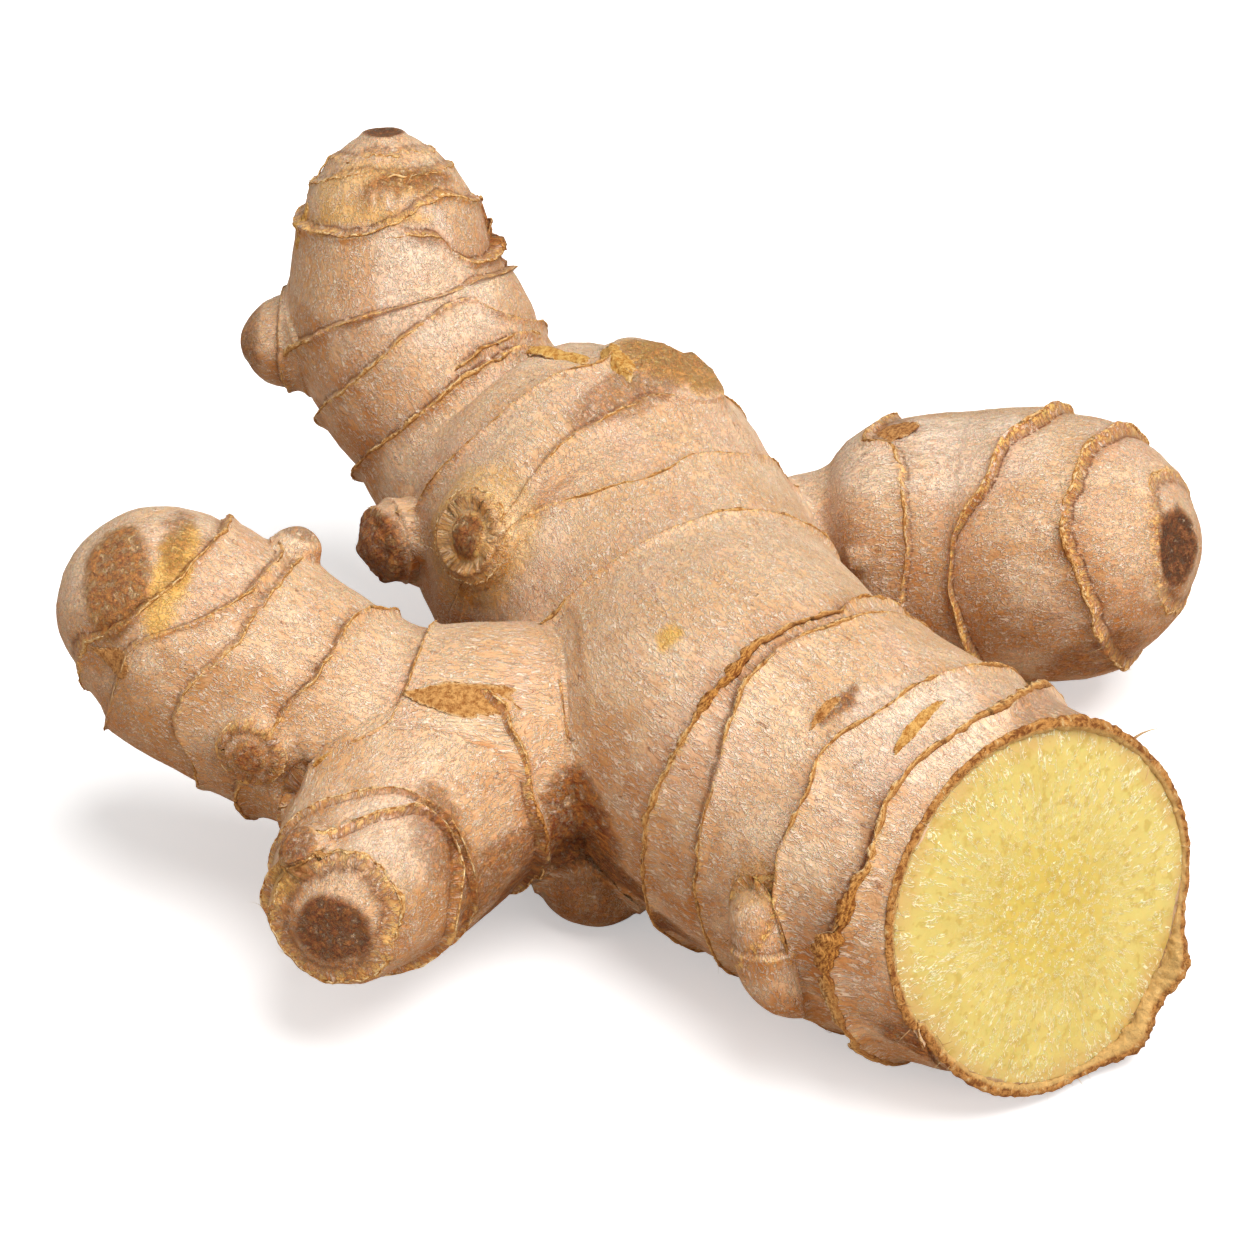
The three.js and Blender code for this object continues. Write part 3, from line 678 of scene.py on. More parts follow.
def ring_stains_and_shade(finger, distance, angle):
    """The golden ridges and the painted shade past each ring: ring is 1 on the ridges, a thin painted
    shadow lies in the step just past them, and a broader painted shade fades out further on.
    """
    ring, ring_shade, lip_shadow = (np.zeros_like(distance) for _ in range(3))
    for i, plan in enumerate(finger["plan"]["rings"]):
        past = distance - ring_place(plan, angle)
        share = ring_share(plan, angle) * np.clip(0.35 + 0.6 * plan["height"], 0, 1)
        ring = np.maximum(ring, share * np.exp(-(((past - 0.1) / 0.42) ** 2)))
        fade = np.exp(-np.maximum(past, 0) / (1.6 + wave(angle * 2, i + 3)))
        ring_shade = np.maximum(ring_shade, share * fade * (past > 0))
        lip_shadow = np.maximum(lip_shadow, share * np.exp(-(((past - 0.6) / 0.24) ** 2)))
    return ring, ring_shade, lip_shadow


def finger_skin(finger):
    """One finger as a closed tube, with its stains, painted shade and painted sheen, and the flow of its
    skin at each point.
    """
    columns = max(20, round(TAU * finger["radius"].max() / SIDE_STEP))
    angle = TAU * np.arange(columns) / columns
    distance = section_lines(finger, angle)
    angle = np.broadcast_to(angle, distance.shape)
    grid = on_skin(finger, distance, angle)
    out = grid_normals(grid)
    height = 0.22 * rough(grid, 4.5, 11) + 0.05 * lumps(grid, 1.1, 17)
    ring, ring_shade, lip_shadow = ring_stains_and_shade(finger, distance, angle)
    # under is painted shade, partly dirt: it browns the skin where it faces down.
    stains_sheen_and_shade = {"ring": ring, "ring_shade": ring_shade, "lip_shadow": lip_shadow, "under": smooth(0.75 - 0.9 * out[..., 2])}
    for kind in STAINS_SHEEN_AND_SHADE:
        stains_sheen_and_shade[kind] = np.zeros_like(distance)
    for mark in MARKS:
        reach = mark_reach(mark, grid)
        height += mark_relief(reach, mark, grid)
        collar = mark.get("collar", 0) * np.exp(-(((reach - 1) / 0.11) ** 2))
        stains_sheen_and_shade["ring"] = np.maximum(stains_sheen_and_shade["ring"], collar)
        for kind in STAINS_SHEEN_AND_SHADE:
            layer = mark.get(kind, 0) * (1 - smooth((reach - 0.82) / 0.26))
            stains_sheen_and_shade[kind] = np.maximum(stains_sheen_and_shade[kind], layer)
    grid = grid + out * height[..., None]
    radius = sample_at(finger, distance, "radius") * cap_share(finger, distance)
    flow = np.stack([radius * np.cos(angle), radius * np.sin(angle), distance], -1)
    foot = finger["middle"][0]
    tip = grid[-1].mean(0)
    points = np.vstack([grid.reshape(-1, 3), foot, tip])
    poles = np.array([[0, 0, 0], [0, 0, finger["length"]]])
    values = {"flow": np.vstack([flow.reshape(-1, 3), poles]) * MM}
    for kind, layer in stains_sheen_and_shade.items():
        values[kind] = np.append(layer.reshape(-1), [0, layer[-1].mean()])
    count = grid.shape[0] * columns
    return points, tube_faces(grid.shape[0], columns, count, count + 1), values


def to_frame(points):
    """Millimetres of the part's own rows, moved to the frame's origin, in metres."""
    return (points - MIDDLE) * MM


def new_piece(name, points, faces, values=None):
    """A mesh of points in the rows' millimetres, with each value kept at the faces' corners."""
    mesh = bpy.data.meshes.new(name)
    mesh.from_pydata(to_frame(points), [], faces)
    corner = np.zeros(len(mesh.loops), int)
    mesh.loops.foreach_get("vertex_index", corner)
    for key, value in (values or {}).items():
        kind, slot = ("FLOAT", "value") if value.ndim == 1 else ("FLOAT_VECTOR", "vector")
        attribute = mesh.attributes.new(key, kind, "CORNER")
        attribute.data.foreach_set(slot, value[corner].ravel())
    piece = bpy.data.objects.new(name, mesh)
    bpy.context.scene.collection.objects.link(piece)
    return piece


def block_beyond(name, point, facing):
    """A large closed block whose one face lies on a point, on the side that it looks towards."""
    facing = unit(np.array(facing, float))
    side = unit(np.cross(facing, [0.3, 0.9, 0.1]))
    other = np.cross(facing, side)
    corners = np.array([[-1, -1], [1, -1], [1, 1], [-1, 1]]) * BLOCK_SIZE
    near = point + corners[:, :1] * side + corners[:, 1:] * other
    points = np.vstack([near, near + facing * BLOCK_SIZE])
    walls = [[i, (i + 1) % 4, (i + 1) % 4 + 4, i + 4] for i in range(4)]
    return new_piece(name, points, [[3, 2, 1, 0], [4, 5, 6, 7], *walls])


def join_skins(pieces, blocks):
    """All the fingers as one closed skin, less the blocks, with nothing left inside."""
    body = pieces[0]
    for operation, tools in (("UNION", pieces[1:]), ("DIFFERENCE", blocks)):
        for tool in tools:
            step = body.modifiers.new(tool.name, "BOOLEAN")
            step.operation = operation
            step.solver = "MANIFOLD"
            step.object = tool
    view = bpy.context.evaluated_depsgraph_get()
    mesh = bpy.data.meshes.new_from_object(body.evaluated_get(view))
    for tool in [*pieces[1:], *blocks]:
        bpy.data.objects.remove(tool)
    body.modifiers.clear()
    mesh.materials.clear()
    body.data = mesh
    return body


def finish_piece(piece, slot, *materials):
    """Rides a piece on the root with its materials and smooth shading. slot is not used."""
    for material in materials:
        piece.data.materials.append(material)
    piece.data.shade_smooth()
    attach(piece, "root")
    return piece


def profile_faces(paths, corners, closed):
    """Quads that join the corners of a profile carried along a path, closed or with two ends."""
    i, j = np.meshgrid(np.arange(paths if closed else paths - 1), np.arange(corners), indexing="ij")
    after = (i + 1) % paths
    beside = (j + 1) % corners
    quads = np.stack(
        [i * corners + j, after * corners + j, after * corners + beside, i * corners + beside], -1
    )
    faces = quads.reshape(-1, 4).tolist()
    if not closed:
        faces.append(list(range(corners)))
        faces.append([(paths - 1) * corners + j for j in reversed(range(corners))])
    return faces


# Where a scale edge is a thick brown fold: the finger and which of its rings, the degrees of
# the middle, half the width in degrees, and how much higher it stands, in ring heights.
FOLDS = [
    ("stem", 0, 284, 16, 1.1),
    ("stem", 3, 328, 13, 1.0),
    ("stem", 3, 27, 10, 0.6),
    ("stem", 12, 58, 10, 0.8),
    ("front", 1, 280, 30, 0.9),
    ("right", 1, 60, 25, 0.3),
    ("right", 2, 60, 10, 0.5),
]


def fold_share(finger, number, angle):
    """How much higher a scale edge stands at each angle, in ring heights: a bell at each fold."""
    share = np.zeros_like(angle)
    for name, which, degrees, width, more in FOLDS:
        if name == finger["name"] and which == number:
            share += more * np.exp(-((turn_from(angle, degrees) / width) ** 2))
    return share


def scale_edge(finger, ring, number):
    """The dry edge of a leaf scale: a thin ragged wedge carried round the finger on its ring.

    Its root lies in the skin behind the ring, and its edge reaches past the ring and lifts,
    both by a height that wanders round the ring and falls to nothing where the edge is torn.
    """
    span = ring.get("span", [0, 360])
    width = (span[1] - span[0]) % 360 or 360
    closed = width == 360
    girth = sample_at(finger, ring["places"][0][1], "radius")
    count = max(24, round(math.radians(width) * girth / EDGE_STEP))
    angle = np.radians(span[0] + np.linspace(0, width, count, endpoint=not closed)) % TAU
    place = ring_place(ring, angle)
    middle = on_skin(finger, place, angle)
    slow, quick, fine = (rough(middle, size, seed + number) for size, seed in EDGE_NOISE)
    fold = fold_share(finger, number, angle)
    torn = np.maximum(smooth((slow + 0.4) / 0.35), smooth(fold * 3)) * ring_share(ring, angle)
    height = ring["height"] * (1 + fold)
    reach = torn * (0.05 + height * (0.08 + 0.16 * slow + 0.36 * quick) + 0.16 * fine)
    rise = 0.05 + height * (0.1 + 0.16 * slow + 0.26 * quick) + 0.14 * fine
    lift = torn * np.maximum(rise, 0.03) - 0.15 * (1 - torn)
    back = EDGE_ROOT * (0.25 + 0.45 * height) * (1 + 0.7 * quick)
    level = np.zeros(count)
    past = np.stack([-back, -0.6 * back, -0.15 * back, reach, reach, level - 0.1, -back], -1)
    over = [level - 0.1, 0.3 * lift, 0.7 * lift, lift]
    under = [lift - EDGE_THICK, 0.1 * lift - 0.3, level - 0.4]
    proud = np.stack(over + under, -1)
    here, there = (
        relief_at(finger, place[:, None] + step, angle[:, None]) for step in (0 * past, past)
    )
    near = np.clip(1 - np.abs(past) / 2.2, 0, 1)
    raised = proud + (here - there) * near
    points = on_skin(finger, place[:, None] + past, angle[:, None] + 0 * past, raised)
    faces = profile_faces(count, past.shape[1], closed)
    values = {"edge": np.tile([0, 0.2, 0.6, 1, 1, 0.5, 0], count), "flow": flow_round(points)}
    values["fold"] = np.repeat(smooth(fold * 1.4), past.shape[1])
    return points.reshape(-1, 3), faces, values


def relief_at(finger, distance, angle):
    """The relief alone, with the radius worked out at that distance."""
    distance, angle = np.broadcast_arrays(distance, angle)
    radius = sample_at(finger, distance, "radius") * cap_share(finger, distance)
    return relief(finger, distance, angle, radius)


def flow_round(points):
    """How far each path point lies along the path, and each corner from the first, as x, y, z."""
    steps = np.linalg.norm(np.diff(points[:, 0], axis=0), axis=1)
    along = np.concatenate([[0], np.cumsum(steps)])
    across = np.linalg.norm(points - points[:, :1], axis=-1)
    flow = np.stack([np.broadcast_to(along[:, None], across.shape), across, 0 * across], -1)
    return flow.reshape(-1, 3) * MM


# Loose flakes and lifted flaps of dry scale: the place of the middle, half the length and half
# the width, how far the tipward end lifts, how much narrower that end is than the middle, and
# the tone, which is 0 for brown and 1 for golden.
FLAKES = [
    {"on": "stem", "at": [110.6, 8], "size": [7.0, 1.3], "lift": 1.6, "taper": 0.2, "tone": 1},
    {"on": "stem", "at": [147.2, 62], "size": [1.6, 2.0], "lift": 0.9, "taper": 0.1, "tone": 0.2},
    {"on": "stem", "at": [150.6, 256], "size": [2.8, 1.2], "lift": 0.2, "taper": 0.2, "tone": 0.9},
    {"on": "stem", "at": [155.6, 232], "size": [2.4, 1.1], "lift": 0.2, "taper": 0.2, "tone": 0.9},
    {"on": "stem", "at": [33.2, 336], "size": [0.6, 2.6], "lift": 0.7, "taper": 0.3, "tone": 0.2},
    {"on": "stem", "at": [23.4, 348], "size": [0.55, 4.4], "lift": 0.5, "taper": 0.3, "tone": 0.7},
    {"on": "stem", "at": [10.8, 251], "size": [2.4, 2.0], "lift": 0.7, "taper": 0.3, "tone": 0.3},
    {"on": "left", "at": [67.8, 270], "size": [3.0, 1.7], "lift": 0.5, "taper": 0.5, "tone": 0.1},
    {"on": "left", "at": [26.4, 317], "size": [4.4, 1.9], "lift": 0.35, "taper": 0.75, "tone": 0.25},
    {"on": "left", "at": [35.8, 274], "size": [0.7, 1.4], "lift": 0.5, "taper": 0.2, "tone": 0.7},
    {"on": "topScar", "at": [5.5, 200], "size": [2.2, 4.2], "lift": 0.5, "taper": 0.2, "tone": 0.9},
    {"on": "right", "at": [29.5, 354], "size": [1.8, 2.2], "lift": 0.6, "taper": 0.4, "tone": 0.1},
]
FLAKE_ROUNDS = 9  # rounds of points from a flake's middle to its edge
FLAKE_SIDES = 88  # points in each of them


def flake(row, number):
    """A thin flake on a polar grid: its outline is ragged, and its tipward end curls away.

    Its height is the lift times a smooth step towards the tip, plus a crumple and fine ribs,
    and the underside is the same surface pushed in by the thickness.
    """
    finger = fingers[row["on"]]
    length, width = row["size"]
    distance, degrees = row["at"]
    share, heading = np.meshgrid(
        np.linspace(0, 1, FLAKE_ROUNDS + 1)[1:],
        TAU * np.arange(FLAKE_SIDES) / FLAKE_SIDES,
        indexing="ij",
    )
    circle = np.stack([np.cos(heading), np.sin(heading), 0 * heading + number], -1)
    outline = 1 + 0.3 * rough(circle, 0.6, 91) + 0.1 * lumps(circle, 0.09, 95)
    ahead = share * outline * np.cos(heading)
    aside = share * outline * np.sin(heading) * (1 - row["taper"] * ahead)
    girth = sample_at(finger, distance, "radius")
    angle = (math.radians(degrees) + aside * width / girth) % TAU
    reach = np.clip(distance + ahead * length, 0, finger["length"] - 0.3)
    flat = on_skin(finger, reach, angle)
    ribs = 0.06 * np.sin(aside * width * 9 + 2 * rough(flat, 1.5, 43))
    crumple = 0.26 * rough(flat, 1.2, 13 + number) + 0.12 * rough(flat, 0.45, 41) + ribs
    rise = row["lift"] * smooth((ahead + 0.75) / 1.9) * (1 - 0.6 * np.abs(aside) ** 3)
    height = np.maximum(0.1 + rise + crumple * share, 0.05) - 0.25 * (share > 0.99) * (ahead < -0.2)
    top = on_skin(finger, reach, angle, height)
    below = on_skin(finger, reach, angle, height - FLAKE_THICK)
    count = FLAKE_ROUNDS * FLAKE_SIDES
    points = np.vstack([top.reshape(-1, 3), below.reshape(-1, 3), top[0].mean(0), below[0].mean(0)])
    faces = flake_faces(count)
    values = {"edge": np.concatenate([share.ravel(), share.ravel(), [0, 0]])}
    values["tone"] = np.full(len(points), float(row["tone"]))
    return points, faces, values


def flake_faces(count):
    """Top and underside as polar grids round their middle points, sewn together at the edge."""
    i, j = np.meshgrid(np.arange(FLAKE_ROUNDS - 1), np.arange(FLAKE_SIDES), indexing="ij")
    here, beside = i * FLAKE_SIDES + j, i * FLAKE_SIDES + (j + 1) % FLAKE_SIDES
    top = np.stack([here, beside, beside + FLAKE_SIDES, here + FLAKE_SIDES], -1).reshape(-1, 4)
    around = np.arange(FLAKE_SIDES)
    after = (around + 1) % FLAKE_SIDES
    fan = np.stack([np.full(FLAKE_SIDES, 2 * count), after, around], -1)
    edge = (FLAKE_ROUNDS - 1) * FLAKE_SIDES
    rim = np.stack([edge + around, edge + after, edge + after + count, edge + around + count], -1)
    below = (top + count)[:, ::-1]
    under = np.stack([np.full(FLAKE_SIDES, 2 * count + 1), around + count, after + count], -1)
    return [*top.tolist(), *fan.tolist(), *rim.tolist(), *below.tolist(), *under.tolist()]


def gather(name, parts):
    """Several closed meshes as one piece, with the values that all of them have."""
    points, faces, values, base = [], [], {}, 0
    for part_points, part_faces, part_values in parts:
        points.append(np.column_stack([part_points[:, :2], np.maximum(part_points[:, 2], 0.02)]))
        faces += [[corner + base for corner in face] for face in part_faces]
        for key, value in part_values.items():
            values.setdefault(key, []).append(value)
        base += len(part_points)
    joined = {key: np.concatenate(value) for key, value in values.items()}
    return new_piece(name, np.vstack(points), faces, joined)


def cut_outline(columns):
    """Where the plane of the cut crosses the stem's skin, at each angle round the stem."""
    angle = TAU * np.arange(columns) / columns
    reach = np.linspace(0, CUT_REACH, CUT_STEPS)[:, None]
    points = on_skin(fingers["stem"], reach, angle[None, :])
    beyond = (points - CUT_CENTRE) @ unit(CUT_FACING)
    i = (beyond < 0).argmax(0)
    j = np.arange(columns)
    f = (beyond[i - 1, j] / (beyond[i - 1, j] - beyond[i, j]))[:, None]
    return angle, points[i - 1, j] * (1 - f) + points[i, j] * f


def cut_flesh():
    """The cut flesh: a polar grid from the middle to just inside the rind, closed behind.

    It stands proud by a slow bulge that falls off at the rind, with fine lumps over it.
    """
    angle, outline = cut_outline(FLESH_SIDES)
    facing = unit(CUT_FACING)
    middle = outline.mean(0)
    spoke = outline - middle
    inset = RIND * (0.8 + 0.4 * rough(outline, 5, 3))
    far = np.linalg.norm(spoke, axis=1)
    share = np.linspace(0, 1, FLESH_ROUNDS + 1)[1:, None]
    flat = middle + share[..., None] * (spoke * (1 - inset / far)[:, None])[None]
    bulge = 0.35 * (1 - share**8) + 0.12 * rough(flat, 5, 5)
    grain = 0.09 * rough(flat, 0.9, 7) * (1 - 0.5 * share)
    front = flat + facing * (bulge + grain)[..., None]
    back = flat[-1:] - facing * FLESH_DEEP
    grid = np.concatenate([front, back], 0)
    count = grid.shape[0] * FLESH_SIDES
    points = np.vstack([grid.reshape(-1, 3), front[0].mean(0), back[0].mean(0)])
    faces = tube_faces(grid.shape[0], FLESH_SIDES, count, count + 1)
    out = np.append(np.broadcast_to(share, flat.shape[:2]).ravel(), [1] * FLESH_SIDES + [0, 1])
    turn = np.append(np.tile(angle, grid.shape[0]), [0, 0])
    spread = out * far.mean()
    flow = np.stack([np.cos(turn) * 14, np.sin(turn) * 14, spread], -1) * MM
    return points, faces, {"out": out, "flow": flow}


def cut_rind():
    """The ragged brown rim of the cut: an oval profile carried round the outline of the cut.

    Its thickness wanders, swells to a crust at CRUST_PLACES, and fine lumps roughen it.
    """
    angle, outline = cut_outline(RIND_STEPS)
    facing = unit(CUT_FACING)
    outward = unit(outline - outline.mean(0))
    crust = sum(
        size * np.exp(-((turn_from(angle, place) / width) ** 2))
        for place, width, size in CRUST_PLACES
    )
    thick = 0.3 + 0.12 * rough(outline, 3, 23) + crust
    turn = TAU * np.arange(RIND_SIDES) / RIND_SIDES
    inward = 0.8 * crust - 0.3 * RIND - 0.2 * thick
    across = inward[:, None] + np.cos(turn) * (0.5 * RIND + 0.5 * thick)[:, None]
    above = np.sin(turn) * thick[:, None] + 0.15 * crust[:, None]
    points = outline[:, None] + outward[:, None] * across[..., None] + facing * above[..., None]
    way = outward[:, None] * np.cos(turn)[:, None] + facing * np.sin(turn)[:, None]
    bumps = 0.3 * rough(points, 1.4, 29) + 0.24 * rough(points, 0.5, 37)
    points = points + way * (bumps * (0.7 + crust[:, None]))[..., None]
    inner = np.broadcast_to(smooth(0.5 - 0.6 * np.cos(turn)), across.shape)
    faces = [face[::-1] for face in profile_faces(RIND_STEPS, RIND_SIDES, True)]
    return points.reshape(-1, 3), faces, {"edge": inner.ravel(), "flow": flow_round(points)}


def edge_fibres(count):
    """Where loose fibres lie on the rings: their roots, and ways that run mostly along the ring."""
    rng = np.random.default_rng(29)
    roots, ways = [], []
    for finger in fingers.values():
        for ring in finger["plan"]["rings"]:
            angle = rng.uniform(0, TAU, count)
            angle = angle[ring_share(ring, angle) > 0.5]
            root, ahead = (
                on_skin(finger, ring_place(ring, turned), turned, 0.05)
                for turned in (angle, (angle + 0.05) % TAU)
            )
            roots.append(root)
            sign = rng.choice([-1, 1], (len(root), 1))
            ways.append(unit(ahead - root) * sign + rng.normal(size=root.shape) * 0.4)
    return np.vstack(roots), np.vstack(ways)


def turn_from(angle, degrees):
    """How many degrees, up to 180, each angle is away from one given in degrees."""
    return np.abs((np.degrees(angle) - degrees + 180) % 360 - 180)


def root_hairs(roots, ways, lengths, thick):
    """Fine tapering hairs: each bends on its way, and is closed at its foot and its tip."""
    rng = np.random.default_rng(83)
    ways = unit(ways)
    bend = unit(np.cross(ways, rng.normal(size=ways.shape)))
    other = np.cross(ways, bend)
    step = np.linspace(0, 1, HAIR_ROWS)[None, :, None]
    path = ways[:, None] * step + bend[:, None] * step**2 * 0.45
    middle = roots[:, None] + path * lengths[:, None, None]
    turn = TAU * np.arange(HAIR_SIDES) / HAIR_SIDES
    section = bend[:, None] * np.cos(turn)[:, None] + other[:, None] * np.sin(turn)[:, None]
    girth = (thick * (1 - 0.8 * step))[..., None]
    grid = middle[:, :, None] + section[:, None] * girth
    corners = np.concatenate([grid.reshape(len(roots), -1, 3), middle[:, :1], middle[:, -1:]], 1)
    count = HAIR_ROWS * HAIR_SIDES
    faces = tube_faces(HAIR_ROWS, HAIR_SIDES, count, count + 1)
    return [(hair, faces, {}) for hair in corners]


def add(tree, kind, inputs=None, **settings):
    """A node with its own settings, and with a value or a link for each named input."""
    node = tree.nodes.new(kind)
    for name, value in settings.items():
        setattr(node, name, value)
    for key, value in (inputs or {}).items():
        if isinstance(value, bpy.types.NodeSocket):
            tree.links.new(value, node.inputs[key])
        else:
            node.inputs[key].default_value = value
    return node


def calc(tree, operation, first, second=0.0, clamp=False):
    """One sum of two values."""
    inputs = {0: first, 1: second}
    return add(tree, "ShaderNodeMath", inputs, operation=operation, use_clamp=clamp).outputs[0]


def stretch(tree, vector, factors):
    """A vector with each part multiplied by its own factor."""
    inputs = {0: vector, 1: factors}
    return add(tree, "ShaderNodeVectorMath", inputs, operation="MULTIPLY").outputs[0]


def between(tree, value, low, high):
    """0 below low and 1 above high, smoothly."""
    inputs = {"Value": value, "From Min": low, "From Max": high}
    node = add(tree, "ShaderNodeMapRange", inputs, interpolation_type="SMOOTHSTEP")
    return node.outputs["Result"]


def blend(tree, share, below, above, mode="MIX"):
    """One colour laid over another, in a share from 0 to 1."""
    inputs = {0: share, 6: below, 7: above}
    return add(tree, "ShaderNodeMix", inputs, data_type="RGBA", blend_type=mode).outputs[2]


def lay(tree, base, share, strength, shade):
    """A colour laid over another where the share is, at most as strongly as the strength."""
    return blend(tree, calc(tree, "MULTIPLY", share, strength), base, shade)


def scaled(tree, value, width, least):
    """A value times a width, with the least value added."""
    return calc(tree, "ADD", calc(tree, "MULTIPLY", value, width), least)


def noise(tree, vector, scale, detail=3.0, roughness=0.55, twist=0.0):
    """Smooth noise from 0 to 1. scale counts the lumps in a metre."""
    inputs = {
        "Vector": vector,
        "Scale": scale,
        "Detail": detail,
        "Roughness": roughness,
        "Distortion": twist,
    }
    return add(tree, "ShaderNodeTexNoise", inputs).outputs["Fac"]


def carried(tree, name, output="Fac"):
    """A value that the mesh carries at its corners."""
    return add(tree, "ShaderNodeAttribute", attribute_name=name).outputs[output]


def colour(red, green, blue):
    """A colour from its screen values of 0 to 255, as the linear values that nodes take."""
    shares = [value / 255 for value in (red, green, blue)]
    return [s / 12.92 if s <= 0.04045 else ((s + 0.055) / 1.055) ** 2.4 for s in shares] + [1.0]


def new_group(name, inputs, outputs):
    """An empty node group: its inputs as name, kind and value, its outputs as name and kind."""
    group = bpy.data.node_groups.new(name, "ShaderNodeTree")
    for label, kind, value in inputs:
        socket = group.interface.new_socket(label, in_out="INPUT", socket_type=kind)
        if value is not None:
            socket.default_value = value
    for label, kind in outputs:
        group.interface.new_socket(label, in_out="OUTPUT", socket_type=kind)
    return group, group.nodes.new("NodeGroupInput").outputs, group.nodes.new("NodeGroupOutput")


def fine_hair_group():
    """Short curly hairs: thin lines where twisted noise passes its middle value, broken up by more."""
    sockets = [
        ("Vector", "NodeSocketVector", None),
        ("Scale", "NodeSocketFloat", 1500.0),
        ("Width", "NodeSocketFloat", 0.03),
        ("Cover", "NodeSocketFloat", 0.5),
    ]
    tree, given, end = new_group("fine hairs", sockets, [("Mask", "NodeSocketFloat")])
    swirl = noise(tree, given["Vector"], given["Scale"], detail=1.0, twist=1.2)
    line = calc(tree, "ABSOLUTE", calc(tree, "SUBTRACT", swirl, 0.5))
    thin = calc(tree, "SUBTRACT", 1.0, between(tree, line, 0.0, given["Width"]))
    patch_scale = calc(tree, "MULTIPLY", given["Scale"], 0.55)
    patches = noise(tree, given["Vector"], patch_scale, detail=1.0)
    low = calc(tree, "SUBTRACT", 0.96, given["Cover"])
    broken = between(tree, patches, low, calc(tree, "ADD", low, 0.08))
    tree.links.new(calc(tree, "MULTIPLY", thin, broken), end.inputs["Mask"])
    return tree


def mottle_group():
    """Slow patches: broad noise, twisted, with its middle values spread from 0 to 1."""
    sockets = [
        ("Vector", "NodeSocketVector", None),
        ("Scale", "NodeSocketFloat", 60.0),
        ("Low", "NodeSocketFloat", 0.35),
        ("High", "NodeSocketFloat", 0.65),
    ]
    tree, given, end = new_group("mottle", sockets, [("Mask", "NodeSocketFloat")])
    slow = noise(tree, given["Vector"], given["Scale"], detail=4.0, twist=0.6)
    tree.links.new(between(tree, slow, given["Low"], given["High"]), end.inputs["Mask"])
    return tree


def grit_group():
    """A height for bumps: wrinkles that run along the flow, with fine grit over them."""
    sockets = [
        ("Flow", "NodeSocketVector", None),
        ("Place", "NodeSocketVector", None),
        ("Fibre", "NodeSocketFloat", 1.0),
        ("Grit", "NodeSocketFloat", 1.0),
    ]
    tree, given, end = new_group("grit and fibre", sockets, [("Height", "NodeSocketFloat")])
    long_way = stretch(tree, given["Flow"], (1.0, 1.0, 0.22))
    fibre = noise(tree, long_way, 900.0, detail=3.0, twist=0.5)
    grit = noise(tree, given["Place"], 1900.0, detail=2.0, twist=0.4)
    fibres = calc(tree, "MULTIPLY", fibre, given["Fibre"])
    grits = calc(tree, "MULTIPLY", grit, given["Grit"])
    tree.links.new(calc(tree, "ADD", fibres, grits), end.inputs["Height"])
    return tree


HAIRS, MOTTLE, GRIT = fine_hair_group(), mottle_group(), grit_group()


def placed(tree, group, inputs, output="Mask"):
    """One node group in a material, with this material's own values."""
    node = tree.nodes.new("ShaderNodeGroup")
    node.node_tree = group
    for key, value in inputs.items():
        if isinstance(value, bpy.types.NodeSocket):
            tree.links.new(value, node.inputs[key])
        else:
            node.inputs[key].default_value = value
    return node.outputs[output]


def new_material(name, **values):
    """A material's tree and its one shader, with the values that are the same all over it."""
    material = bpy.data.materials.new(name)
    material.use_nodes = True
    tree = material.node_tree
    shader = tree.nodes["Principled BSDF"]
    for key, value in values.items():
        shader.inputs[key.replace("_", " ")].default_value = value
    return material, tree, shader


def finish_material(tree, shader, base, roughness, height, strength, depth):
    """Links the colour, the roughness and the bumps to the shader. depth is in metres."""
    tree.links.new(base, shader.inputs["Base Color"])
    tree.links.new(roughness, shader.inputs["Roughness"])
    bump = add(tree, "ShaderNodeBump", {"Height": height, "Strength": strength, "Distance": depth})
    tree.links.new(bump.outputs["Normal"], shader.inputs["Normal"])


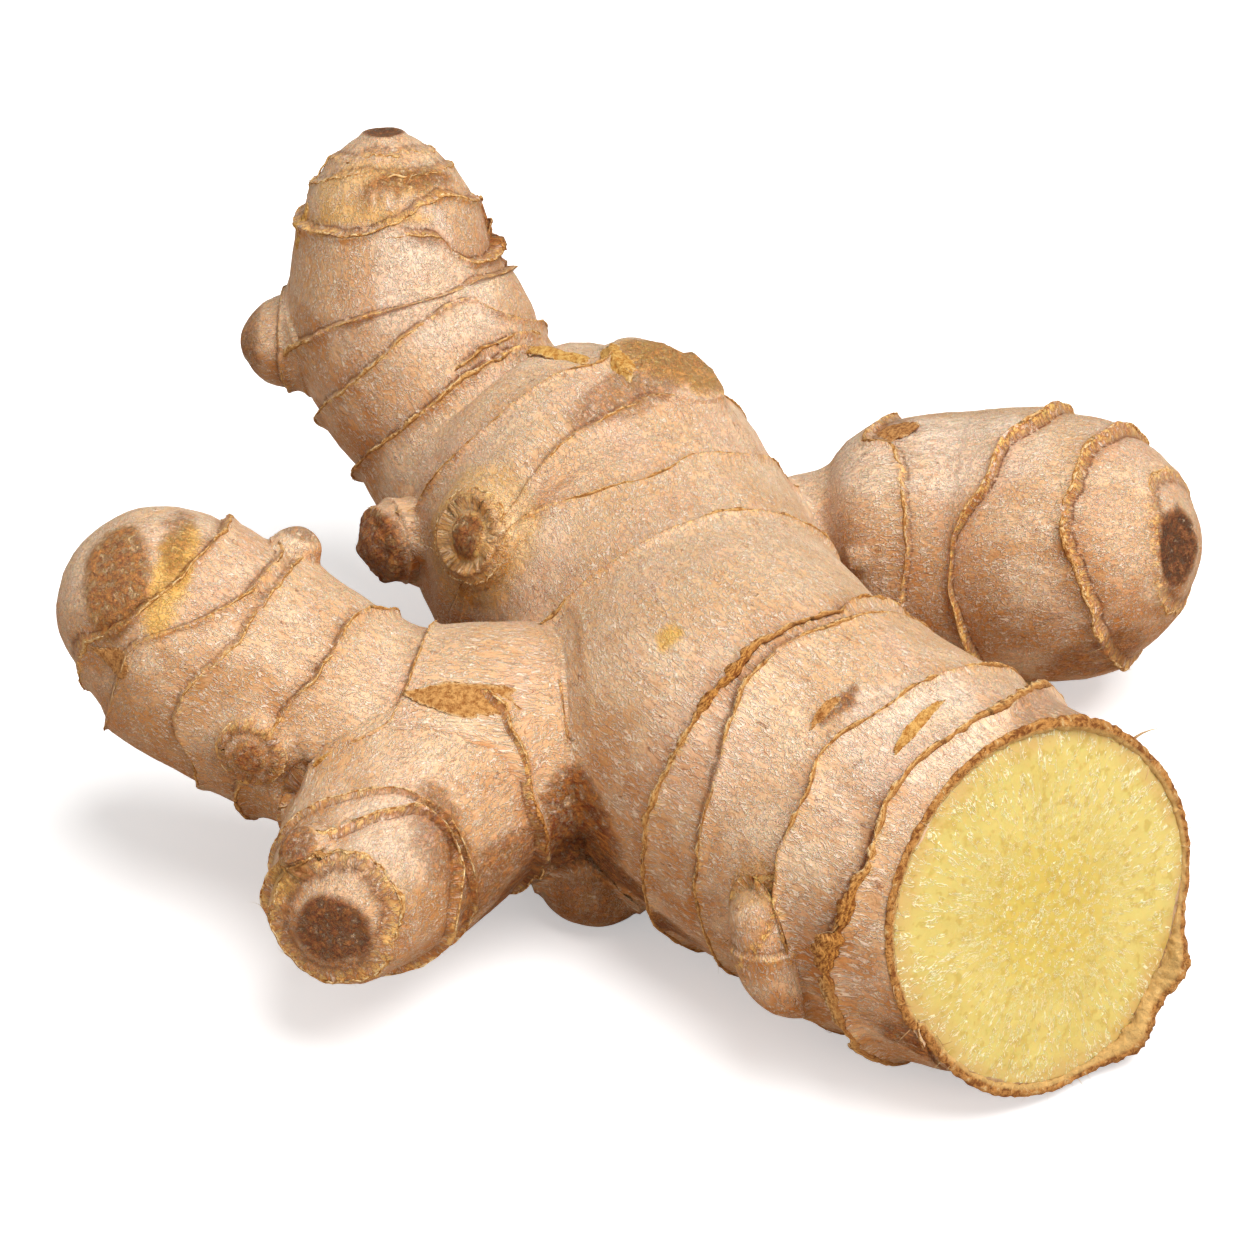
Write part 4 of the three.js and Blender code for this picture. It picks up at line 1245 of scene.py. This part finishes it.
def skin_material():
    """Ginger skin: pale beige and pink in slow patches, under pale curly hairs and brown dashes.

    The pale hairs stand partly for fine glints, as a painted highlight. The rings are golden with
    dark breaks; past each, painted shade darkens the skin, with a thin painted shadow in the step.
    Painted shade, partly dirt, browns the faces that look down, more painted shade browns the lower
    flanks, a painted sheen lightens patches on top, and scars and stains are laid over it where the
    mesh carries them.
    """
    material, tree, shader = new_material(
        "ginger skin", Specular_IOR_Level=0.32, Subsurface_Weight=0.15, Subsurface_Scale=0.0012
    )
    place = add(tree, "ShaderNodeTexCoord").outputs["Object"]
    flow = carried(tree, "flow", "Vector")
    long_way = stretch(tree, flow, (1.0, 1.0, 0.5))
    broad = placed(tree, MOTTLE, {"Vector": place, "Scale": 38.0, "Low": 0.36, "High": 0.64})
    small = placed(tree, MOTTLE, {"Vector": place, "Scale": 210.0, "Low": 0.3, "High": 0.7})
    rosy = placed(tree, MOTTLE, {"Vector": place, "Scale": 90.0, "Low": 0.46, "High": 0.7})
    base = blend(tree, broad, colour(216, 174, 130), colour(240, 206, 168))
    base = lay(tree, base, small, 0.5, colour(206, 154, 102))
    base = lay(tree, base, rosy, 0.45, colour(230, 184, 154))
    # Painted shade, partly dirt, where the skin faces down; painted shade on the lower flanks; a painted
    # sheen on lit patches; and painted shade past each ring.
    for kind, least, strength, shade in (
        ("under", 0.5, 0.75, colour(192, 122, 56)),
        ("tan", 0.5, 0.55, colour(196, 140, 84)),
        ("pale", 0.4, 0.8, colour(252, 230, 206)),
        ("ring_shade", 0.3, 0.6, colour(184, 114, 52)),
    ):
        share = calc(tree, "MULTIPLY", carried(tree, kind), calc(tree, "ADD", small, least))
        base = lay(tree, base, share, strength, shade)
    speckle = noise(tree, long_way, 1600.0, detail=2.0, roughness=0.7)
    base = lay(tree, base, between(tree, speckle, 0.5, 0.68), 0.45, colour(178, 120, 72))
    # The pale curly hairs also stand for the fine glints of the moist skin, so they are partly a painted
    # highlight.
    pale = placed(tree, HAIRS, {"Vector": long_way, "Scale": 2100.0, "Width": 0.08, "Cover": 0.62})
    base = lay(tree, base, pale, 0.55, colour(255, 240, 220))
    dashes = placed(tree, HAIRS, {"Vector": long_way, "Scale": 800.0, "Width": 0.016, "Cover": 0.45})
    base = lay(tree, base, dashes, 0.65, colour(138, 74, 30))
    yellow = carried(tree, "yellow")
    base = lay(tree, base, yellow, 0.75, colour(230, 176, 78))
    breaks = noise(tree, place, 1100.0, detail=3.0, roughness=0.65)
    ring = calc(tree, "MULTIPLY", carried(tree, "ring"), between(tree, breaks, 0.38, 0.5))
    gold = blend(tree, between(tree, breaks, 0.46, 0.6), colour(168, 98, 36), colour(244, 194, 112))
    base = blend(tree, ring, base, gold)
    # A thin painted shadow in the step just past each ring, broken by the same noise as the ring.
    lip_shadow = calc(tree, "MULTIPLY", carried(tree, "lip_shadow"), between(tree, breaks, 0.34, 0.5))
    base = blend(tree, lip_shadow, base, colour(120, 64, 26))
    crumbs = noise(tree, place, 900.0, detail=5.0, roughness=0.75)
    brown = calc(tree, "MULTIPLY", carried(tree, "brown"), between(tree, crumbs, 0.36, 0.54))
    bark = blend(tree, between(tree, speckle, 0.35, 0.65), colour(150, 72, 22), colour(220, 142, 66))
    base = blend(tree, brown, base, bark)
    dark = calc(tree, "MULTIPLY", carried(tree, "dark"), between(tree, crumbs, 0.24, 0.42))
    soot = blend(tree, between(tree, crumbs, 0.35, 0.65), colour(72, 38, 20), colour(152, 98, 64))
    base = blend(tree, dark, base, soot)
    dull = scaled(tree, small, 0.14, 0.36)
    roughness = calc(tree, "ADD", dull, calc(tree, "MULTIPLY", brown, 0.3), clamp=True)
    height = placed(tree, GRIT, {"Flow": flow, "Place": place, "Fibre": 0.6, "Grit": 0.5}, "Height")
    raised = calc(tree, "ADD", height, calc(tree, "MULTIPLY", pale, 0.35))
    scabs = calc(tree, "MULTIPLY", calc(tree, "MULTIPLY", crumbs, 3.0), brown)
    raised = calc(tree, "ADD", raised, scabs)
    finish_material(tree, shader, base, roughness, raised, 1.0, 0.0004)
    return material


def dry_scale_material():
    """Dry leaf scale: golden dashes with brown breaks, browner in folds, with painted shade at its root
    and underside and a painted highlight along its free edge.
    """
    material, tree, shader = new_material("dry scale", Specular_IOR_Level=0.22)
    flow = carried(tree, "flow", "Vector")
    place = add(tree, "ShaderNodeTexCoord").outputs["Object"]
    edge, fold = carried(tree, "edge"), carried(tree, "fold")
    dashes = noise(tree, stretch(tree, flow, (1.0, 2.4, 1.0)), 1300.0, detail=4.0, roughness=0.7)
    crumbs = noise(tree, place, 800.0, detail=3.0, roughness=0.7)
    base = blend(tree, between(tree, dashes, 0.4, 0.56), colour(176, 112, 50), colour(234, 180, 108))
    # Painted shade at the root, where the edge sits in the skin, and on its underside.
    base = lay(tree, base, between(tree, edge, 0.5, 0.0), 0.6, colour(166, 104, 50))
    # lit is a painted highlight: a pale crest along the free edge, broken by the dashes.
    lit = calc(tree, "MULTIPLY", between(tree, edge, 0.5, 1.0), between(tree, dashes, 0.46, 0.6))
    base = blend(tree, lit, base, colour(250, 222, 172))
    base = lay(tree, base, between(tree, crumbs, 0.56, 0.66), 0.7, colour(112, 66, 32))
    old = blend(tree, between(tree, dashes, 0.4, 0.6), colour(128, 66, 16), colour(222, 152, 70))
    base = lay(tree, base, fold, 0.85, old)
    roughness = scaled(tree, dashes, 0.2, 0.5)
    finish_material(tree, shader, base, roughness, calc(tree, "ADD", dashes, crumbs), 1.0, 0.0005)
    return material


def flake_material():
    """Loose flakes: brown to golden papery scale with fine ribs, and a pale torn edge."""
    material, tree, shader = new_material("loose flakes", Specular_IOR_Level=0.22)
    place = add(tree, "ShaderNodeTexCoord").outputs["Object"]
    edge, tone = carried(tree, "edge"), carried(tree, "tone")
    crumbs = noise(tree, place, 1600.0, detail=4.0, roughness=0.75)
    light = between(tree, crumbs, 0.36, 0.62)
    brown = blend(tree, light, colour(146, 88, 42), colour(212, 150, 88))
    golden = blend(tree, light, colour(194, 126, 46), colour(240, 192, 108))
    base = blend(tree, tone, brown, golden)
    rim = calc(tree, "MULTIPLY", between(tree, edge, 0.8, 1.0), between(tree, crumbs, 0.45, 0.6))
    base = lay(tree, base, rim, 0.8, colour(240, 208, 158))
    roughness = scaled(tree, crumbs, 0.2, 0.45)
    finish_material(tree, shader, base, roughness, crumbs, 1.0, 0.0006)
    return material


def flesh_material():
    """Cut flesh: moist yellow, deeper in the middle and tan near the rind, with pale fibres.

    The fibres are dots in the middle and run outwards as short strokes further out.
    """
    material, tree, shader = new_material(
        "ginger flesh", Specular_IOR_Level=0.45, Subsurface_Weight=0.25, Subsurface_Scale=0.0015
    )
    place = add(tree, "ShaderNodeTexCoord").outputs["Object"]
    flow = carried(tree, "flow", "Vector")
    out = carried(tree, "out")
    slow = placed(tree, MOTTLE, {"Vector": place, "Scale": 120.0, "Low": 0.3, "High": 0.7})
    base = blend(tree, between(tree, out, 0.2, 0.75), colour(212, 186, 88), colour(219, 199, 116))
    base = lay(tree, base, slow, 0.4, colour(194, 166, 76))
    wander = calc(tree, "ADD", out, calc(tree, "MULTIPLY", calc(tree, "SUBTRACT", slow, 0.5), 0.08))
    base = lay(tree, base, between(tree, wander, 0.84, 1.0), 0.7, colour(206, 166, 104))
    grain = noise(tree, place, 900.0, detail=2.0)
    base = lay(tree, base, between(tree, grain, 0.52, 0.66), 0.55, colour(190, 158, 64))
    outward = stretch(tree, flow, (1.0, 1.0, 0.3))
    lines = {"Vector": outward, "Scale": 2500.0, "Width": 0.06, "Cover": 0.5}
    strokes = placed(tree, HAIRS, lines)
    dots = placed(tree, HAIRS, {"Vector": place, "Scale": 2400.0, "Width": 0.07, "Cover": 0.5})
    pale = blend(tree, between(tree, out, 0.3, 0.7), dots, strokes)
    base = lay(tree, base, pale, 0.85, colour(255, 248, 208))
    roughness = scaled(tree, slow, 0.15, 0.36)
    height = calc(tree, "ADD", pale, noise(tree, place, 1300.0, detail=3.0))
    finish_material(tree, shader, base, roughness, height, 0.7, 0.0001)
    return material


def rind_material():
    """The torn rind: fibrous golden brown with dark pits, and a pale golden inner edge."""
    material, tree, shader = new_material("torn rind", Specular_IOR_Level=0.22)
    place = add(tree, "ShaderNodeTexCoord").outputs["Object"]
    inner = carried(tree, "edge")
    crumbs = noise(tree, place, 1100.0, detail=5.0, roughness=0.75, twist=0.4)
    base = blend(tree, between(tree, crumbs, 0.4, 0.54), colour(142, 82, 34), colour(212, 148, 78))
    base = blend(tree, between(tree, crumbs, 0.56, 0.66), base, colour(236, 200, 142))
    base = lay(tree, base, between(tree, inner, 0.6, 1.0), 0.7, colour(236, 196, 124))
    roughness = scaled(tree, crumbs, 0.3, 0.45)
    finish_material(tree, shader, base, roughness, crumbs, 1.0, 0.0009)
    return material


def hair_material():
    """Dry root hairs: pale straw, darker in patches."""
    material, tree, shader = new_material("root hairs", Specular_IOR_Level=0.3)
    place = add(tree, "ShaderNodeTexCoord").outputs["Object"]
    patches = noise(tree, place, 150.0)
    base = blend(tree, between(tree, patches, 0.35, 0.65), colour(232, 206, 160), colour(176, 124, 72))
    roughness = scaled(tree, patches, 0.2, 0.5)
    finish_material(tree, shader, base, roughness, noise(tree, place, 2000.0), 0.3, 0.0001)
    return material


def paper_floor():
    """A wide white sheet on the ground: it takes soft shadows and throws little light back up."""
    material, tree, shader = new_material("paper floor", Specular_IOR_Level=0.1, Emission_Strength=1.0)
    place = add(tree, "ShaderNodeTexCoord").outputs["Object"]
    tooth = noise(tree, place, 400.0, detail=2.0)
    seen = add(tree, "ShaderNodeLightPath").outputs["Is Camera Ray"]
    shade = blend(tree, seen, FLOOR_BOUNCE, FLOOR_SHADE)
    glow = blend(tree, seen, (0.0, 0.0, 0.0, 1.0), FLOOR_GLOW)
    tree.links.new(glow, shader.inputs["Emission Color"])
    roughness = scaled(tree, tooth, 0.05, 0.8)
    finish_material(tree, shader, shade, roughness, tooth, 0.02, 0.0001)
    mesh = bpy.data.meshes.new("floor")
    corners = [(x * FLOOR_HALF, y * FLOOR_HALF, 0) for x, y in ((-1, -1), (1, -1), (1, 1), (-1, 1))]
    mesh.from_pydata(corners, [], [(0, 1, 2, 3)])
    mesh.materials.append(material)
    floor = bpy.data.objects.new("floor", mesh)
    bpy.context.scene.collection.objects.link(floor)


def aim(thing, place, target):
    """Puts a lamp or the camera at a place, looking at a target, both in metres."""
    thing.location = place
    thing.rotation_euler = (Vector(target) - Vector(place)).to_track_quat("-Z", "Y").to_euler()
    bpy.context.scene.collection.objects.link(thing)


def studio():
    """One large soft lamp overhead, a weak one low on each side, and a pale room."""
    for name, place, size, power in LAMPS:
        light = bpy.data.lights.new(name, "AREA")
        light.shape = "DISK"
        light.size = size
        light.energy = power
        aim(bpy.data.objects.new(name, light), place, (0, 0, 0.02))
    world = bpy.data.worlds.new("white room")
    world.use_nodes = True
    back = world.node_tree.nodes["Background"]
    back.inputs["Color"].default_value = (1.0, 0.99, 0.98, 1.0)
    back.inputs["Strength"].default_value = ROOM_LIGHT
    bpy.context.scene.world = world
    bpy.context.scene.view_settings.view_transform = "Standard"
    bpy.context.scene.view_settings.look = "None"


def camera():
    """The photograph's view: a long lens, a little above the hand."""
    view = bpy.data.cameras.new("camera")
    view.lens = LENS
    view.sensor_width = SENSOR
    view.clip_start = CAMERA_NEAR
    tilt = math.radians(CAMERA_TILT)
    target = Vector(to_frame(np.array(CAMERA_TARGET)))
    place = target + Vector((0, -math.cos(tilt), math.sin(tilt))) * CAMERA_REACH
    thing = bpy.data.objects.new("camera", view)
    aim(thing, place, target)
    bpy.context.scene.camera = thing


CAMERA_TILT = 33  # degrees down
CAMERA_REACH = 0.41  # metres from the target
CAMERA_NEAR = 0.01  # metres, from where on it sees
CAMERA_TARGET = [0, 0, 25]  # in the rows' millimetres
LENS = 100  # millimetres, on a sensor SENSOR wide
SENSOR = 36
LAMPS = [
    ("window", (0.27, -0.2, 0.9), 0.8, 10.5),
    ("right", (0.65, -0.75, 0.4), 0.5, 3.0),
    ("left", (-0.7, -0.7, 0.4), 0.5, 1.6),
]
ROOM_LIGHT = 0.34
FLOOR_HALF = 4.0  # metres
FLOOR_BOUNCE = (0.48, 0.39, 0.3, 1.0)  # what the object sees of the floor
FLOOR_SHADE = (0.95, 0.94, 0.93, 1.0)  # what the camera sees: shade that takes the shadows
FLOOR_GLOW = (0.41, 0.41, 0.41, 1.0)  # and an even glow under it


# Sizes of the dry scale edges and the flakes, in millimetres
EDGE_STEP = 0.42  # between two points along a ring
EDGE_ROOT = 0.36  # how far behind its ring an edge is rooted, on a high ring
EDGE_THICK = 0.12  # of a dry edge, at its free end
EDGE_NOISE = [(5, 31), (1.4, 57), (0.6, 83)]  # size of the waves, and the seed
FLAKE_THICK = 0.13
SMOOTH_BUDS = ["stemBud"]  # young buds, whose rings carry no dry edge

# The cut end, in millimetres: what lies beyond its plane, and below the ground, is cut away
BLOCK_SIZE = 200
CUT_REACH = 24  # how far from the stem's foot the plane can cross its skin
CUT_STEPS = 121
RIND = 0.9  # from the outline of the cut to the flesh
RIND_STEPS = 420  # profiles round the cut
RIND_SIDES = 18  # points in a profile of the rind
FLESH_SIDES = 260
FLESH_ROUNDS = 72  # rounds of points from the middle of the flesh to the rind
FLESH_DEEP = 1.5
# Where the rind is crusted: degrees round the stem, half the width, and how much thicker
CRUST_PLACES = [(22, 20, 0.35), (66, 30, 0.15), (129, 12, 1.8), (155, 11, 1.5), (205, 40, 0.25)]

# Fine hairs, in millimetres: on the rim of the cut, one splinter there, and fibres on the rings
HAIR_ROWS = 5
HAIR_SIDES = 3
RIM_HAIRS = 90
RIM_HAIR_THICK = 0.06
SPLINTER_PLACE = 11  # the rim hair that it stands beside
SPLINTER_LONG = 3.2
SPLINTER_THICK = 0.22
RING_FIBRES = 16  # on a ring that goes all the way round
FIBRE_THICK = 0.04

camera()
studio()
paper_floor()

fingers = {name: grow(name, plan) for name, plan in FINGERS.items()}

skins = []
for finger in fingers.values():
    points, faces, values = finger_skin(finger)
    skins.append(new_piece(finger["name"], points, faces, values))
blocks = [block_beyond("cut", CUT_CENTRE, CUT_FACING), block_beyond("ground", [0, 0, 0], [0, 0, -1])]
skin = join_skins(skins, blocks)
skin.name = "ginger_skin"
finish_piece(skin, "ginger_skin", skin_material())
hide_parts("ginger_root")

edges = []
for finger in fingers.values():
    if finger["name"] in SMOOTH_BUDS:
        continue
    for number, ring in enumerate(finger["plan"]["rings"]):
        edges.append(scale_edge(finger, ring, number))
finish_piece(gather("scale_edges", edges), "ginger_skin", dry_scale_material())

flakes = [flake(row, number) for number, row in enumerate(FLAKES)]
finish_piece(gather("loose_flakes", flakes), "ginger_skin", flake_material())

finish_piece(gather("cut_flesh", [cut_flesh()]), "ginger_flesh", flesh_material())
finish_piece(gather("torn_rind", [cut_rind()]), "ginger_skin", rind_material())

outline = cut_outline(RIM_HAIRS)[1]
outward = unit(outline - outline.mean(0))
rng = np.random.default_rng(19)
roots = outline - outward * rng.uniform(0.1, 1.2, (RIM_HAIRS, 1))
ways = outward * 0.6 + unit(CUT_FACING) * 0.8 + rng.normal(size=(RIM_HAIRS, 3)) * 0.6
rim_hairs = root_hairs(roots, ways, rng.uniform(0.8, 2.2, RIM_HAIRS), RIM_HAIR_THICK)
way = outward[[SPLINTER_PLACE]] + 0.5 * unit(CUT_FACING)
splinter = root_hairs(outline[[SPLINTER_PLACE]], way, np.array([SPLINTER_LONG]), SPLINTER_THICK)
roots, ways = edge_fibres(RING_FIBRES)
fibres = root_hairs(roots, ways, rng.uniform(0.5, 2.0, len(roots)), FIBRE_THICK)
finish_piece(gather("root_hairs", rim_hairs + splinter + fibres), "ginger_skin", hair_material())
